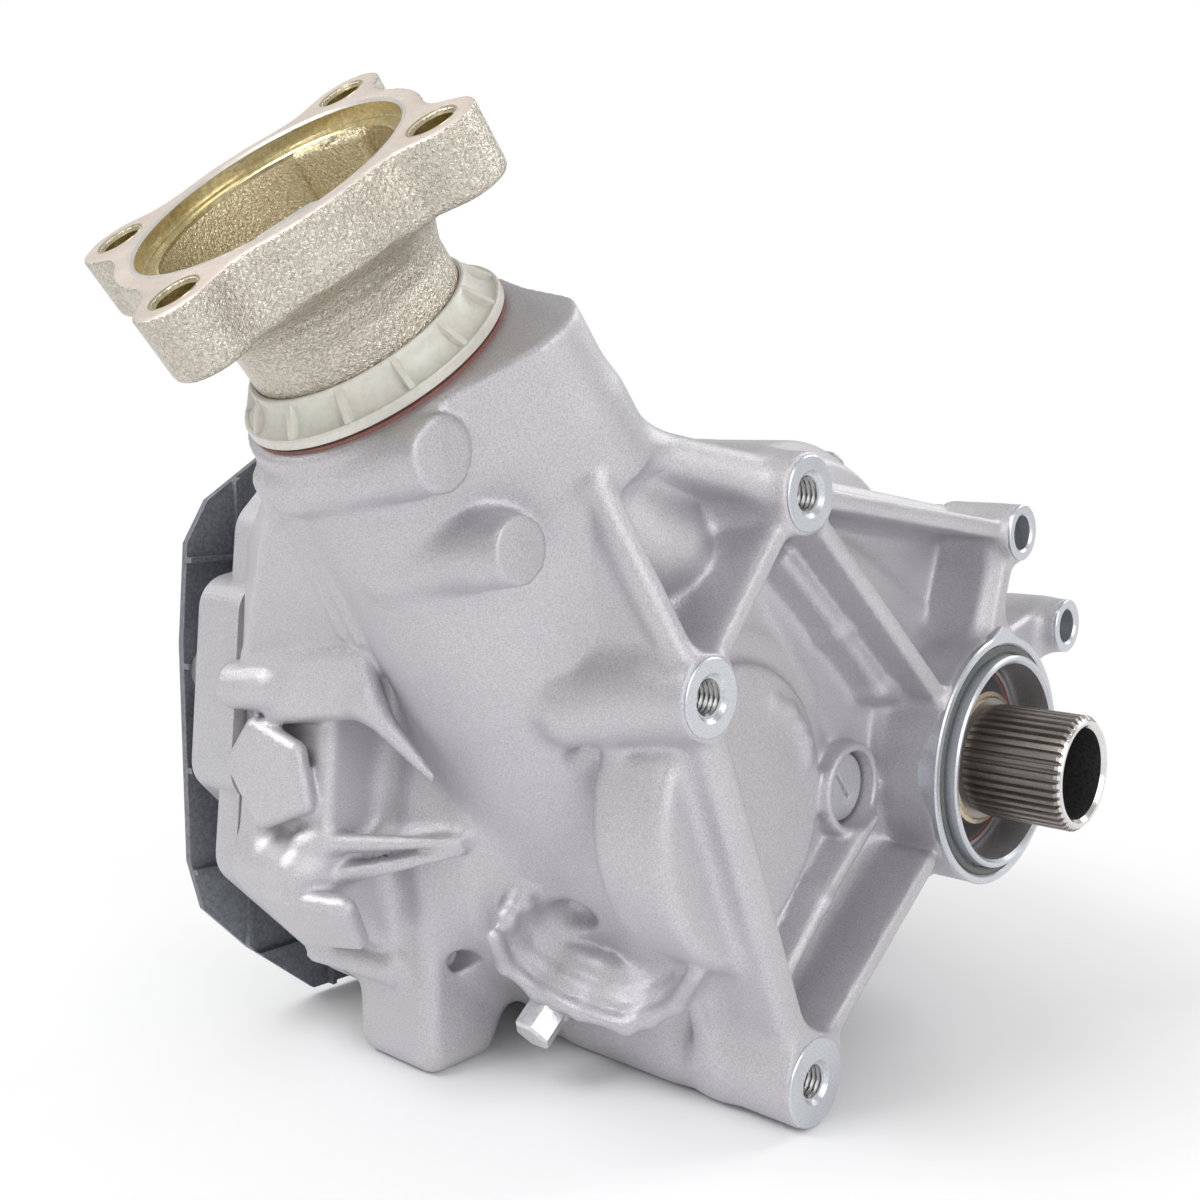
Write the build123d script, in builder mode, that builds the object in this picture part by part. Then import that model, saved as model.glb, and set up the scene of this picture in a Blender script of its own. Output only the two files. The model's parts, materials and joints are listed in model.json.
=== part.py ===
from build123d import *
from math import atan, cos, degrees, pi, radians, sin, tan
import os

# A transfer case: the angle drive bolted to the side of a gearbox. A splined hollow shaft takes
# the drive in, a gear pair carries it to the ring gear shaft, and a bevel pair turns it out
# through the companion flange.
# Frame: the origin is the centre of the spigot on the mating face. +X runs along the input
# shaft, out towards the gearbox. +Z is up as the case stands on its three feet, and the output
# shaft leans back from upright by the angle `lean`. Sizes are in millimetres.
# Places in the case are given as (across, along): square to both shafts, and along the output.

lean = 39.0                     # tilt of the output shaft from upright
floor_z = -100.5                # what the three feet stand on

# gear pair between the input shaft and the ring gear shaft
gear_module = 2.0
drive_teeth = 54
driven_teeth = 49
gear_width = 20.0
gear_rim = 9.0
gear_recess = 4.0
shaft_direction = 145.7         # where the ring gear shaft lies, seen from the input shaft
tooth_thickness = 0.42          # of the pitch, which leaves the backlash

# bevel pair
ring_teeth = 37
pinion_teeth = 15
bevel_module = 3.35
bevel_face = 20.0
bevel_tip = 2.4                 # tooth above and below the pitch cone
bevel_root = 3.4
bevel_thickness = 0.44          # of the pitch

# places along the input shaft
spline_reach = 33.0             # shaft end beyond the mating face
pinion_x = -82.0                # plane of the output shaft
web_x = -30.0                   # floor of the recessed web
barrel_end_x = -50.0            # where the chambers' outer walls end behind the web
web_thickness = 7.0
parting_x = -168.0              # joint between case and cover
cover_flange = 12.0
cover_depth = 24.0
cover_wall = 6.0

# input shaft
spline_teeth = 40
spline_module = 1.0
spline_start_x = -10.0
spline_root_r = 18.9
spline_tip_r = 21.0
shaft_bore_r = 16.5
seal_journal_r = 25.0
input_seat_r = 27.5
input_collar_r = 31.0
input_gear_r = 30.0
end_chamfer = 2.0

# spigot
spigot_r = 39.5
spigot_bore_r = 36.5
spigot_proud = 4.0
spigot_land_r = 46.5
o_ring_cord = 3.8

# bearings and seals
ball_outer_r = 45.0
ball_width = 18.0
ball_share = 0.315              # ball radius over the room between shaft and outer bore
taper_bore_r = 17.5
taper_outer_r = 36.0
taper_width = 16.0
head_bore_r = 20.0
head_outer_r = 38.0
head_width = 20.0
roller_r = 4.2
roller_slope = 14.0             # tilt of the rollers from their shaft
seat_gap = 0.02                 # shaft in bearing and bearing in bore
race_gap = 0.04                 # ball or roller to its race
seal_width = 10.0
seal_lip_gap = 0.05

# ring gear shaft
ring_shaft_r = 30.0
gear_seat_r = 22.0
ring_flange_r = 52.0
ring_flange = 7.0
ring_hub = 21.0
ring_bolt_circle = 42.0
ring_bolts = 8
ring_bolt_reach = 12.0
ring_bolt_head = 5.0

# output shaft, measured along it from the level of the input shaft
neck_top = 251.0
neck_r = 43.0
head_seat = 124.0
tail_seat_depth = 41.0          # below the neck's top
flange_gap = 3.0                # between the neck and the flange's hub
flange_length = 55.6
flange_cup_depth = 26.6
flange_ear = 19.0
flange_pilot_r = 40.8
flange_pilot_depth = 5.0
flange_cup_r = 36.5
flange_body_r = 47.0
flange_hub_r = 32.8
flange_bolt_circle = 53.6
flange_hole_r = 5.75
flange_ear_r = 12.0
flange_ear_angle = 19.4
flange_ears = 4
flange_sleeve_r = 25.0
output_teeth = 20
output_module = 1.4
output_root_r = 12.6
output_spline_r = 15.0
output_thread_r = 11.0
output_thread = 19.0
pinion_nut_r = 18.0
nut_height = 13.0
washer_thickness = 3.0
dust_ring_r = 41.5
dust_gap = 4.0
dust_height = 9.0
shim = 1.5

# case
barrel_r = 86.0
cover_r = 90.0                  # the cover's lowest point stays above the feet
boss_r = 51.0                   # round boss over the ring gear shaft's right bearing
boss_disc_r = 48.0              # raised disc on the web
drum_r = 53.0                   # round step left of the front wall
drum_x = -42.0
ring_chamber_r = 76.0
input_housing_r = 74.0
input_chamber_r = 58.0
hump_a, hump_p = 20.0, 40.0     # breather chamber behind the input shaft
hump_r = 74.0
hump_chamber_r = 58.0
rib = 7.0
rib_top_x = -3.0
skirt_x = -76.5                 # back edge of the wall at the front
mount_thread_r = 5.1
mount_clear_r = 6.5
mount_depth = 30.0
ear_depth = 30.0                # length of the two clearance holes
bolt_r = 4.0
bolt_clearance = 0.4
bolt_head_r = 7.0
bolt_head = 8.0
bolt_length = 26.0
dowel_r = 5.0
shield_boss_r = 10.0
shield_boss = 16.0
shield_thickness = 3.0
shield_rib = 2.0
shield_rib_pitch = 38.0
shield_bolt_r = 3.0
shield_bolt_head_r = 6.5

# Places of the holes and feet, across and along
upper_front = (-104.6, 145.6)
upper_rear = (-32.8, 159.3)
foot_front = (-144.9, 7.5)
ear_upper = (63.0, 57.0)
ear_lower = (70.0, 1.0)
disc_at = (-98.8, 81.0)
drum_at = (-95.0, 84.0)
level_plug_at = (-51.5, 38.0)
level_plug_x = -24.0
level_plug_r = 12.0
level_plug_depth = 8.0
level_plug_recess = 3.0
drain_at = (-163.0, 39.0)
drain_x = -85.0
drain_thread_r = 5.0
drain_head_r = 7.5
breather_x = -122.0
breather_r = 4.0
cover_corners = [(-98.0, 190.0), (-176.0, 112.0)]
shield_bosses = [(-133.0, 154.0), (-160.6, 40.0), (-18.1, 104.7)]

# Planes, directions and what follows from the sizes

tilt_sin, tilt_cos = sin(radians(lean)), cos(radians(lean))
along = Vector(0, -tilt_sin, tilt_cos)      # the way the output flange points
across = Vector(0, tilt_cos, tilt_sin)      # square to both shafts
right = Vector(1, 0, 0)

drive_pitch_r = gear_module * drive_teeth / 2
driven_pitch_r = gear_module * driven_teeth / 2
shaft_distance = drive_pitch_r + driven_pitch_r
ring_a = shaft_distance * cos(radians(shaft_direction))
ring_p = shaft_distance * sin(radians(shaft_direction))


def spot(x, a, p):
    return right * x + across * a + along * p


def side(x, a=0.0, p=0.0):
    """Square to the input shaft: x runs across, y along the output shaft."""
    return Plane(origin=spot(x, a, p), x_dir=across, z_dir=right)


def level(p, x=pinion_x, a=ring_a):
    """Square to the output shaft: x runs right, y across."""
    return Plane(origin=spot(x, a, p), x_dir=right, z_dir=along)


def section(x=0.0, a=0.0, p=0.0):
    """Through a shaft: x runs right, y along the output shaft."""
    return Plane(origin=spot(x, a, p), x_dir=right, z_dir=across * -1)


def stand(x):
    """Square to the input shaft with the floor level: x runs back, y up."""
    return Plane(origin=(x, 0, 0), x_dir=(0, 1, 0), z_dir=(1, 0, 0))


def on_stand(a, p):
    """A place given across and along, turned into depth and height."""
    return (tilt_cos * a - tilt_sin * p, tilt_sin * a + tilt_cos * p)


def through(start, direction):
    """Through a shaft: x runs along it in the given direction."""
    return Plane(origin=start, x_dir=direction, z_dir=across)


def facing(start, direction):
    """Square to a shaft that runs in the given direction."""
    return Plane(origin=start, x_dir=across, z_dir=direction)


input_axis = Axis(spot(0, 0, 0), right)
ring_axis = Axis(spot(0, ring_a, ring_p), right)
hump_axis = Axis(spot(0, hump_a, hump_p), right)
output_axis = Axis(spot(pinion_x, ring_a, 0), along)
input_section = section()
ring_section = section(0, ring_a, ring_p)
hump_section = section(0, hump_a, hump_p)
output_section = section(pinion_x, ring_a, 0)


def outline(*points, mode=Mode.ADD):
    """Fills a closed outline of straight runs."""
    Polygon(*points, align=None, mode=mode)


def hull(*rounds):
    """Fills the outline stretched around circles given as (x, y, radius)."""
    make_hull([Edge.make_circle(r, Plane((x, y, 0))) for x, y, r in rounds])


def teeth(count, module, root_r, tip_r, start=0.0, spare=0.0):
    """A ring of straight-sided teeth, widest at the root."""
    pitch_half = pi * module * tooth_thickness / 2 + spare
    pitch_r = count * module / 2
    flank = tan(radians(20))
    root_half = pitch_half + (pitch_r - root_r) * flank
    tip_half = pitch_half - (tip_r - pitch_r) * flank
    inner = root_r - module / 2
    with PolarLocations(0, count, start_angle=start):
        outline((inner, -root_half), (root_r, -root_half), (tip_r, -tip_half),
                (tip_r, tip_half), (root_r, root_half), (inner, root_half))


def polar(angle, radius, a=0.0, p=0.0):
    return (a + radius * cos(radians(angle)), p + radius * sin(radians(angle)))


# The neck's pieces hang from its top
tail_seat = neck_top - tail_seat_depth
flange_hub_base = neck_top + flange_gap
flange_face = flange_hub_base + flange_length
flange_floor = flange_face - flange_cup_depth
dust_ring_base = neck_top + dust_gap

# Gears sit by the chamber's left end, and the bearings by their seats
gear_x = parting_x + 5.0
left_seat_x = parting_x - 2.0               # right faces of the left bearings
left_taper_x = left_seat_x - taper_width
left_ball_x = left_seat_x - ball_width
right_taper_x = -72.0
right_ball_x = -62.0
input_end_x = left_ball_x - 2.0 - seal_width
ring_pitch_r = ring_teeth * bevel_module / 2
pinion_pitch_r = pinion_teeth * bevel_module / 2
pinion_cone = degrees(atan(pinion_teeth / ring_teeth))
ring_cone = 90.0 - pinion_cone
ring_back_x = pinion_x - pinion_pitch_r - 22.0
head_narrow = head_seat + head_width        # narrow ends of the taper bearings
tail_end = tail_seat + taper_width
right_narrow = right_taper_x + taper_width
cone_distance = ring_pitch_r / sin(radians(ring_cone))
gear_back = head_seat - shim                # flat back of the pinion
seal_right_x = -26.0

chamber_rounds = [(ring_a, ring_p, ring_chamber_r), (0, 0, input_chamber_r),
                  (hump_a, hump_p, hump_chamber_r)]
corner_rounds = [(a, p, bolt_r + 9) for a, p in cover_corners]
flange_rounds = [(ring_a, ring_p, cover_r), (0, 0, input_housing_r), (hump_a, hump_p, hump_r),
                 (-148.0, 56.0, 36.0), (-62.0, 195.0, 12.0)] + corner_rounds
edge_r = (cover_r + ring_chamber_r) / 2
bolt_spots = cover_corners + [
    polar(195, edge_r, ring_a, ring_p), polar(235, edge_r, ring_a, ring_p),
    polar(272, edge_r, ring_a, ring_p), polar(268, 66), polar(330, 66),
    polar(20, 66, hump_a, hump_p), polar(75, 66, hump_a, hump_p), (-28.0, 152.0),
]
dowel_spots = [polar(215, edge_r, ring_a, ring_p), polar(48, 66, hump_a, hump_p)]
raised_rounds = [(ring_a, ring_p, ring_chamber_r + 4), (-158.0, 137.0, 12.0),
                 (-121.0, 175.0, 12.0), (hump_a, hump_p, 62.0), (0, 0, 60.0)]
mounts = [upper_front, upper_rear, foot_front]
foot_boss_r = on_stand(*foot_front)[1] - floor_z
drain_face = Plane(origin=spot(drain_x, *drain_at), x_dir=right, z_dir=across * -1)
breather_face = Plane(origin=spot(breather_x, hump_a + hump_r + 6, hump_p), x_dir=right,
                      z_dir=across)
breather_section = Plane(origin=breather_face.origin, x_dir=right, z_dir=along)

os.makedirs("parts", exist_ok=True)

# Case

with BuildPart() as case:
    with BuildSketch(side(parting_x)):
        hull(*flange_rounds)
    extrude(amount=cover_flange)
    with BuildSketch(side(parting_x + cover_flange)):
        hull(*[(a, p, r - 6) for a, p, r in flange_rounds])
    extrude(amount=26)
    with BuildSketch(ring_section):
        outline((parting_x, 0), (parting_x, barrel_r), (-118, barrel_r - 3), (-100, 76), (-88, 65),
                (-78, boss_r), (barrel_end_x, boss_r), (barrel_end_x, 0))
    revolve(axis=ring_axis)
    with BuildSketch(hump_section):
        outline((parting_x, 0), (parting_x, hump_r), (-90, hump_r), (-76, hump_r - 8),
                (-70, 50), (barrel_end_x, 44), (barrel_end_x, 0))
    revolve(axis=hump_axis)
    with BuildSketch(input_section):
        outline((parting_x, 0), (parting_x, input_housing_r), (-118, input_housing_r), (-96, 64),
                (web_x, 52), (web_x + 8, spigot_land_r), (0, spigot_land_r), (0, spigot_r + o_ring_cord),
                (-o_ring_cord, spigot_r + o_ring_cord), (-o_ring_cord, spigot_r),
                (spigot_proud - 0.5, spigot_r), (spigot_proud, spigot_r - 0.5), (spigot_proud, 0))
    revolve(axis=input_axis)
    with BuildSketch(output_section):
        outline((0, ring_p), (51, ring_p), (50, 110), (48, 150), (neck_r + 1.5, tail_seat - 10),
                (neck_r, neck_top), (0, neck_top))
    revolve(axis=output_axis)
    with BuildSketch(level(ring_p, pinion_x - 12)):
        Circle(60)
    with BuildSketch(level(tail_seat - 10)):
        Circle(neck_r + 1.5)
    loft()

    # machined ear beside the neck, and the ridge that carries it down to the mounting boss
    with BuildSketch(level(neck_top)):
        hull((0, 0, neck_r - 1), (48, 13, 16))
    extrude(amount=-50)
    with BuildSketch(level(neck_top - 50)):
        hull((0, 0, neck_r - 4), (45, 15, 13))
    extrude(amount=-45)

    # drum left of the front wall, and the recess that the walls stand round
    with BuildSketch(side(drum_x)):
        with Locations(drum_at):
            Circle(drum_r)
    extrude(amount=-12 - drum_x)
    with BuildSketch(side(web_x)):
        outline((-139, 12), (-101, 140), (-30, 153), (-14, 52), (-42, 36), (-54, 8))
    extrude(amount=1 - web_x, mode=Mode.SUBTRACT)

    # recessed web and its raised disc
    with BuildSketch(side(web_x - web_thickness)):
        hull((*upper_front, 13), (*upper_rear, 13), (0, 0, spigot_land_r), (*foot_front, 12))
        hull((*upper_rear, 10), (0, 0, spigot_land_r - 4), (*ear_upper, 8))
    extrude(amount=web_thickness)
    with BuildSketch(side(web_x - web_thickness)):
        with Locations(disc_at):
            Circle(boss_disc_r)
    extrude(amount=web_thickness + 2.5)

    # rim walls and ribs between the bosses
    with BuildSketch(side(web_x)):
        for start, end in [(upper_front, upper_rear), (upper_rear, ear_upper),
                           (ear_upper, (30, 36)), ((-52, 2), foot_front),
                           (upper_rear, (-11, 46)), (foot_front, upper_front)]:
            hull((*start, rib / 2), (*end, rib / 2))
    extrude(amount=rib_top_x - web_x)
    with BuildSketch(side(web_x)):
        hull((-56, 20, rib / 2), (-126, 24, rib / 2))
        hull((-37, 136, rib / 2), (-20, 57, rib / 2))
    extrude(amount=10)
    with BuildSketch(side(skirt_x)):
        hull((*foot_front, 7), (*upper_front, 7))
    extrude(amount=rib_top_x - skirt_x)

    # ribs that tie the two upper bosses to the neck
    with BuildSketch(section(0, upper_front[0] + 12)):
        outline((-60, 196), (-38, 190), (-5, 152), (-5, 138), (-60, 118))
    extrude(amount=4, both=True)
    with BuildSketch(side(-66)):
        hull((*upper_rear, 6), (-64, 188, 5))
    extrude(amount=58)

    # gusset beside the neck, boss and fin at the cover's corner, and a bolt boss above it
    with BuildSketch(section(0, -104)):
        outline((-92, 241), (-112, 180), (-118, 168), (-150, 176), (-150, 196), (-118, 222), (-104, 241))
    extrude(amount=22)
    with BuildSketch(side(parting_x)):
        with Locations(cover_corners[1]):
            Circle(bolt_r + 9)
    extrude(amount=30)
    with BuildSketch(level(106)):
        outline((-58, -103), (-58, -79), (-17, -62))
    extrude(amount=8)
    with BuildSketch(side(parting_x + cover_flange)):
        with Locations((-137, 162)):
            Circle(11)
    extrude(amount=40)

    # mounting bosses
    with BuildSketch(side(barrel_end_x - web_thickness)):
        with Locations(upper_front, upper_rear):
            Circle(13.5)
    extrude(amount=web_thickness - barrel_end_x)
    with BuildSketch(side(-113)):
        with Locations(foot_front):
            Circle(foot_boss_r)
    extrude(amount=113)
    with BuildSketch(side(-100)):
        hull((*foot_front, foot_boss_r - 4), (ring_a, ring_p, 40))
    extrude(amount=100 + barrel_end_x)
    with BuildSketch(side(-ear_depth)):
        with Locations(ear_upper, ear_lower):
            Circle(mount_clear_r + 4)
    extrude(amount=ear_depth)
    with BuildSketch(side(3 - ear_depth)):
        hull((*ear_lower, 8), (26, 12, 18))
        hull((*ear_upper, 6), (22, 22, 16))
    extrude(amount=ear_depth - 8)

    # feet
    with BuildSketch(stand(-156)):
        hull((-172, floor_z + 8, 8), (-154, floor_z + 8, 8), (-142, -42, 22), (-166, -46, 14))
    extrude(amount=40)
    with BuildSketch(stand(-150)):
        hull((4, floor_z + 8, 8), (24, floor_z + 8, 8), (14, -34, 30))
    extrude(amount=40)

    # lugs on the neck, drain boss, level boss and breather boss
    with BuildSketch(side(pinion_x, -113, neck_top - 10)):
        Circle(10.5)
    extrude(amount=-37 - pinion_x)
    with BuildSketch(side(pinion_x, -113.5, neck_top - 43)):
        Circle(10)
    extrude(amount=-29 - pinion_x)
    with BuildSketch(drain_face.offset(-43)):
        Circle(10)
    extrude(amount=43)
    with BuildSketch(side(web_x, *level_plug_at)):
        Circle(level_plug_r + 4.5)
    extrude(amount=level_plug_x - web_x)
    with BuildSketch(breather_face):
        Circle(breather_r + 5)
    extrude(amount=-14)

    # chambers
    with BuildSketch(side(parting_x)):
        hull(*chamber_rounds)
    extrude(amount=30, mode=Mode.SUBTRACT)
    with BuildSketch(ring_section):
        outline((parting_x, 0), (parting_x, ring_chamber_r), (-124, 74), (-102, 67), (-90, 55),
                (-82, 44), (right_taper_x - 2, taper_outer_r + seat_gap),
                (right_taper_x + taper_width, taper_outer_r + seat_gap),
                (right_taper_x + taper_width, 26), (right_taper_x + taper_width + 3, 26),
                (right_taper_x + taper_width + 3, 0))
    revolve(axis=ring_axis, mode=Mode.SUBTRACT)
    with BuildSketch(side(parting_x, hump_a, hump_p)):
        Circle(hump_chamber_r)
    extrude(amount=84, mode=Mode.SUBTRACT)
    with BuildSketch(input_section):
        outline((parting_x, 0), (parting_x, ball_outer_r + 5), (right_ball_x - 3, ball_outer_r + 5),
                (right_ball_x - 3, ball_outer_r + seat_gap),
                (right_ball_x + ball_width, ball_outer_r + seat_gap),
                (right_ball_x + ball_width, 38), (seal_right_x - 2, 38), (seal_right_x - 2, 33),
                (seal_right_x, 33), (seal_right_x, spigot_bore_r + seat_gap),
                (spigot_proud + 1, spigot_bore_r + seat_gap), (spigot_proud + 1, 0))
    revolve(axis=input_axis, mode=Mode.SUBTRACT)
    with BuildSketch(output_section):
        outline((0, 90), (24, 96), (31, 112), (head_outer_r + seat_gap, 112),
                (head_outer_r + seat_gap, head_narrow), (32, head_narrow),
                (32, tail_seat), (taper_outer_r + seat_gap, tail_seat),
                (taper_outer_r + seat_gap, neck_top + 1), (0, neck_top + 1))
    revolve(axis=output_axis, mode=Mode.SUBTRACT)

    # holes
    with BuildSketch(side(0)):
        with Locations(*mounts):
            Circle(mount_thread_r)
    extrude(amount=-mount_depth, mode=Mode.SUBTRACT)
    with BuildSketch(side(0)):
        with Locations(*mounts):
            Circle(mount_thread_r + 1.4)
    extrude(amount=-3, mode=Mode.SUBTRACT)
    with BuildSketch(side(0)):
        with Locations(ear_upper, ear_lower):
            Circle(mount_clear_r)
    extrude(amount=-ear_depth, mode=Mode.SUBTRACT)
    with BuildSketch(side(-ear_depth)):
        with Locations(ear_upper, ear_lower):
            Circle(mount_clear_r + 4.5)
    extrude(amount=ear_depth + web_x - web_thickness - 1, mode=Mode.SUBTRACT)
    with BuildSketch(side(parting_x)):
        with Locations(*bolt_spots):
            Circle(bolt_r + seat_gap)
        with Locations(*dowel_spots):
            Circle(dowel_r + seat_gap)
    extrude(amount=bolt_length - cover_flange + 2, mode=Mode.SUBTRACT)
    with BuildSketch(side(level_plug_x, *level_plug_at)):
        Circle(level_plug_r + seat_gap)
    extrude(amount=-level_plug_depth, mode=Mode.SUBTRACT)
    with BuildSketch(drain_face):
        Circle(drain_thread_r + seat_gap)
    extrude(amount=-20, mode=Mode.SUBTRACT)
    with BuildSketch(breather_face):
        Circle(breather_r + seat_gap)
    extrude(amount=-12, mode=Mode.SUBTRACT)
case.part.label = "case"
export_step(case.part, "parts/case.step")

# Cover over the gear chamber, with the pockets of the two left bearings

cover_outer_x = parting_x - cover_depth
with BuildPart() as case_cover:
    with BuildSketch(side(parting_x)):
        hull(*flange_rounds)
    extrude(amount=-cover_flange)
    with BuildSketch(side(parting_x)):
        hull(*raised_rounds)
        with Locations(*bolt_spots):
            Circle(bolt_head_r + 3, mode=Mode.SUBTRACT)
    extrude(amount=-cover_depth)
    with BuildSketch(side(cover_outer_x)):
        with Locations(*shield_bosses):
            Circle(shield_boss_r)
    extrude(amount=-shield_boss)
    with BuildSketch(side(parting_x - cover_flange)):
        Circle(ball_outer_r + cover_wall)
    extrude(amount=input_end_x - parting_x + cover_flange)
    with BuildSketch(side(parting_x)):
        hull(*[(a, p, r - 2) for a, p, r in chamber_rounds])
        with Locations((ring_a, ring_p)):
            Circle(taper_outer_r + cover_wall, mode=Mode.SUBTRACT)
        Circle(ball_outer_r + cover_wall, mode=Mode.SUBTRACT)
    extrude(amount=-cover_flange, mode=Mode.SUBTRACT)
    with BuildSketch(ring_section):
        outline((parting_x, 0), (parting_x, taper_outer_r + seat_gap),
                (left_taper_x, taper_outer_r + seat_gap), (left_taper_x, 24),
                (left_taper_x - 1, 24), (left_taper_x - 1, 0))
    revolve(axis=ring_axis, mode=Mode.SUBTRACT)
    with BuildSketch(input_section):
        outline((parting_x, 0), (parting_x, ball_outer_r + seat_gap),
                (left_ball_x, ball_outer_r + seat_gap), (left_ball_x, 33),
                (left_ball_x - 2, 33), (left_ball_x - 2, spigot_bore_r + seat_gap),
                (input_end_x, spigot_bore_r + seat_gap), (input_end_x, 0))
    revolve(axis=input_axis, mode=Mode.SUBTRACT)
    with BuildSketch(side(parting_x)):
        with Locations(*bolt_spots):
            Circle(bolt_r + bolt_clearance)
        with Locations(*dowel_spots):
            Circle(dowel_r + seat_gap)
    extrude(amount=-cover_depth, mode=Mode.SUBTRACT)
    with BuildSketch(side(cover_outer_x - shield_boss)):
        with Locations(*shield_bosses):
            Circle(shield_bolt_r + seat_gap)
    extrude(amount=shield_boss, mode=Mode.SUBTRACT)
case_cover.part.label = "case_cover"
export_step(case_cover.part, "parts/case_cover.step")

with BuildPart() as cover_bolts:
    with BuildSketch(side(parting_x - cover_flange)):
        with Locations(*bolt_spots):
            Circle(bolt_r)
    extrude(amount=bolt_length)
    with BuildSketch(side(parting_x - cover_flange)):
        with Locations(*bolt_spots):
            Circle(bolt_head_r + 1.5)
    extrude(amount=-2)
    with BuildSketch(side(parting_x - cover_flange - 2)):
        with Locations(*bolt_spots):
            RegularPolygon(bolt_head_r, 6)
    extrude(amount=2 - bolt_head)
cover_bolts.part.label = "cover_bolts"
export_step(cover_bolts.part, "parts/cover_bolts.step")

with BuildPart() as cover_dowels:
    with BuildSketch(side(parting_x - cover_flange + 1)):
        with Locations(*dowel_spots):
            Circle(dowel_r)
            Circle(dowel_r - 1.5, mode=Mode.SUBTRACT)
    extrude(amount=2 * cover_flange - 2)
cover_dowels.part.label = "cover_dowels"
export_step(cover_dowels.part, "parts/cover_dowels.step")

# Ribbed shield on three bosses outside the cover

shield_x = cover_outer_x - shield_boss
shield_edge = [(-175, 114), (-201, 97), (-210, 82), (-213, 46), (-213, -34), (-208, -53),
               (-189, -73), (-160, -97), (-70, -97), (-54, -80), (-54, 45), (-10, 62),
               (0, 84), (-12, 110), (-40, 122), (-150, 122)]
shield_spots = [on_stand(*place) for place in shield_bosses]
with BuildPart() as heat_shield:
    with BuildSketch(stand(shield_x)):
        outline(*shield_edge)
        with Locations(*shield_spots):
            Circle(shield_bolt_r + bolt_clearance, mode=Mode.SUBTRACT)
    extrude(amount=-shield_thickness)
    with BuildSketch(stand(shield_x)):
        with GridLocations(shield_rib_pitch, 0, 11, 1):
            Rectangle(shield_rib, 300)
        with GridLocations(0, shield_rib_pitch, 1, 7):
            Rectangle(500, shield_rib)
        outline(*shield_edge, mode=Mode.INTERSECT)
        with Locations(*shield_spots):
            Circle(shield_boss_r + 2, mode=Mode.SUBTRACT)
    extrude(amount=shield_thickness)
heat_shield.part.label = "heat_shield"
export_step(heat_shield.part, "parts/heat_shield.step")

with BuildPart() as shield_bolts:
    with BuildSketch(stand(shield_x - shield_thickness)):
        with Locations(*shield_spots):
            Circle(shield_bolt_r)
    extrude(amount=shield_boss)
    with BuildSketch(stand(shield_x - shield_thickness)):
        with Locations(*shield_spots):
            Circle(shield_bolt_head_r + 1.5)
    extrude(amount=-1.5)
    with BuildSketch(stand(shield_x - shield_thickness - 1.5)):
        with Locations(*shield_spots):
            RegularPolygon(shield_bolt_head_r, 6)
    extrude(amount=-4.5)
shield_bolts.part.label = "shield_bolts"
export_step(shield_bolts.part, "parts/shield_bolts.step")

# Plugs, breather and the ring round the spigot

with BuildPart() as level_plug:
    with BuildSketch(side(level_plug_x - level_plug_depth, *level_plug_at)):
        Circle(level_plug_r)
    extrude(amount=level_plug_depth - level_plug_recess)
    with BuildSketch(side(level_plug_x - level_plug_recess, *level_plug_at)):
        Rectangle(2, 12)
    extrude(amount=-2, mode=Mode.SUBTRACT)
level_plug.part.label = "level_plug"
export_step(level_plug.part, "parts/level_plug.step")

with BuildPart() as drain_plug:
    with BuildSketch(drain_face.offset(-16)):
        Circle(drain_thread_r)
    extrude(amount=16 + washer_thickness / 2)
    with BuildSketch(drain_face.offset(washer_thickness / 2)):
        RegularPolygon(drain_head_r, 6)
    extrude(amount=12)
    chamfer(drain_plug.faces().sort_by(Axis(drain_face.origin, drain_face.z_dir))[-1].edges(), 1)
drain_plug.part.label = "drain_plug"
export_step(drain_plug.part, "parts/drain_plug.step")

with BuildPart() as drain_washer:
    with BuildSketch(drain_face):
        Circle(drain_head_r + 1.5)
        Circle(drain_thread_r + seat_gap, mode=Mode.SUBTRACT)
    extrude(amount=washer_thickness / 2)
drain_washer.part.label = "drain_washer"
export_step(drain_washer.part, "parts/drain_washer.step")

with BuildPart() as breather:
    with BuildSketch(breather_section):
        outline((0, -10), (breather_r, -10), (breather_r, 0), (7, 0), (7, 4), (3.5, 5),
                (3.5, 14), (7, 15), (7, 20), (5, 22), (0, 22))
    revolve(axis=Axis(breather_face.origin, across))
breather.part.label = "breather"
export_step(breather.part, "parts/breather.step")

with BuildPart() as spigot_o_ring:
    with BuildSketch(input_section):
        with Locations((-o_ring_cord / 2, spigot_r + o_ring_cord / 2)):
            Circle(o_ring_cord / 2)
    revolve(axis=input_axis)
spigot_o_ring.part.label = "spigot_o_ring"
export_step(spigot_o_ring.part, "parts/spigot_o_ring.step")

# Shaft seals, a steel case with a lip that leans inwards


def seal_profile(outer_r, journal_r):
    """Section of a seal. x runs from its outer face into the case."""
    lip_r = journal_r + seal_lip_gap
    outline((0, outer_r), (seal_width, outer_r), (seal_width, outer_r - 2), (2.5, outer_r - 2),
            (2.5, lip_r + 4), (seal_width - 2, lip_r + 4), (seal_width - 2, lip_r + 1),
            (seal_width - 3, lip_r), (seal_width - 4, lip_r), (1, lip_r + 3), (0, lip_r + 5))


with BuildPart() as input_seal_right:
    with BuildSketch(through(spot(seal_right_x + seal_width, 0, 0), right * -1)):
        seal_profile(spigot_bore_r, seal_journal_r)
    revolve(axis=input_axis)
input_seal_right.part.label = "input_seal_right"
export_step(input_seal_right.part, "parts/input_seal_right.step")

with BuildPart() as input_seal_left:
    with BuildSketch(through(spot(input_end_x, 0, 0), right)):
        seal_profile(spigot_bore_r, seal_journal_r)
    revolve(axis=input_axis)
input_seal_left.part.label = "input_seal_left"
export_step(input_seal_left.part, "parts/input_seal_left.step")

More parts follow.
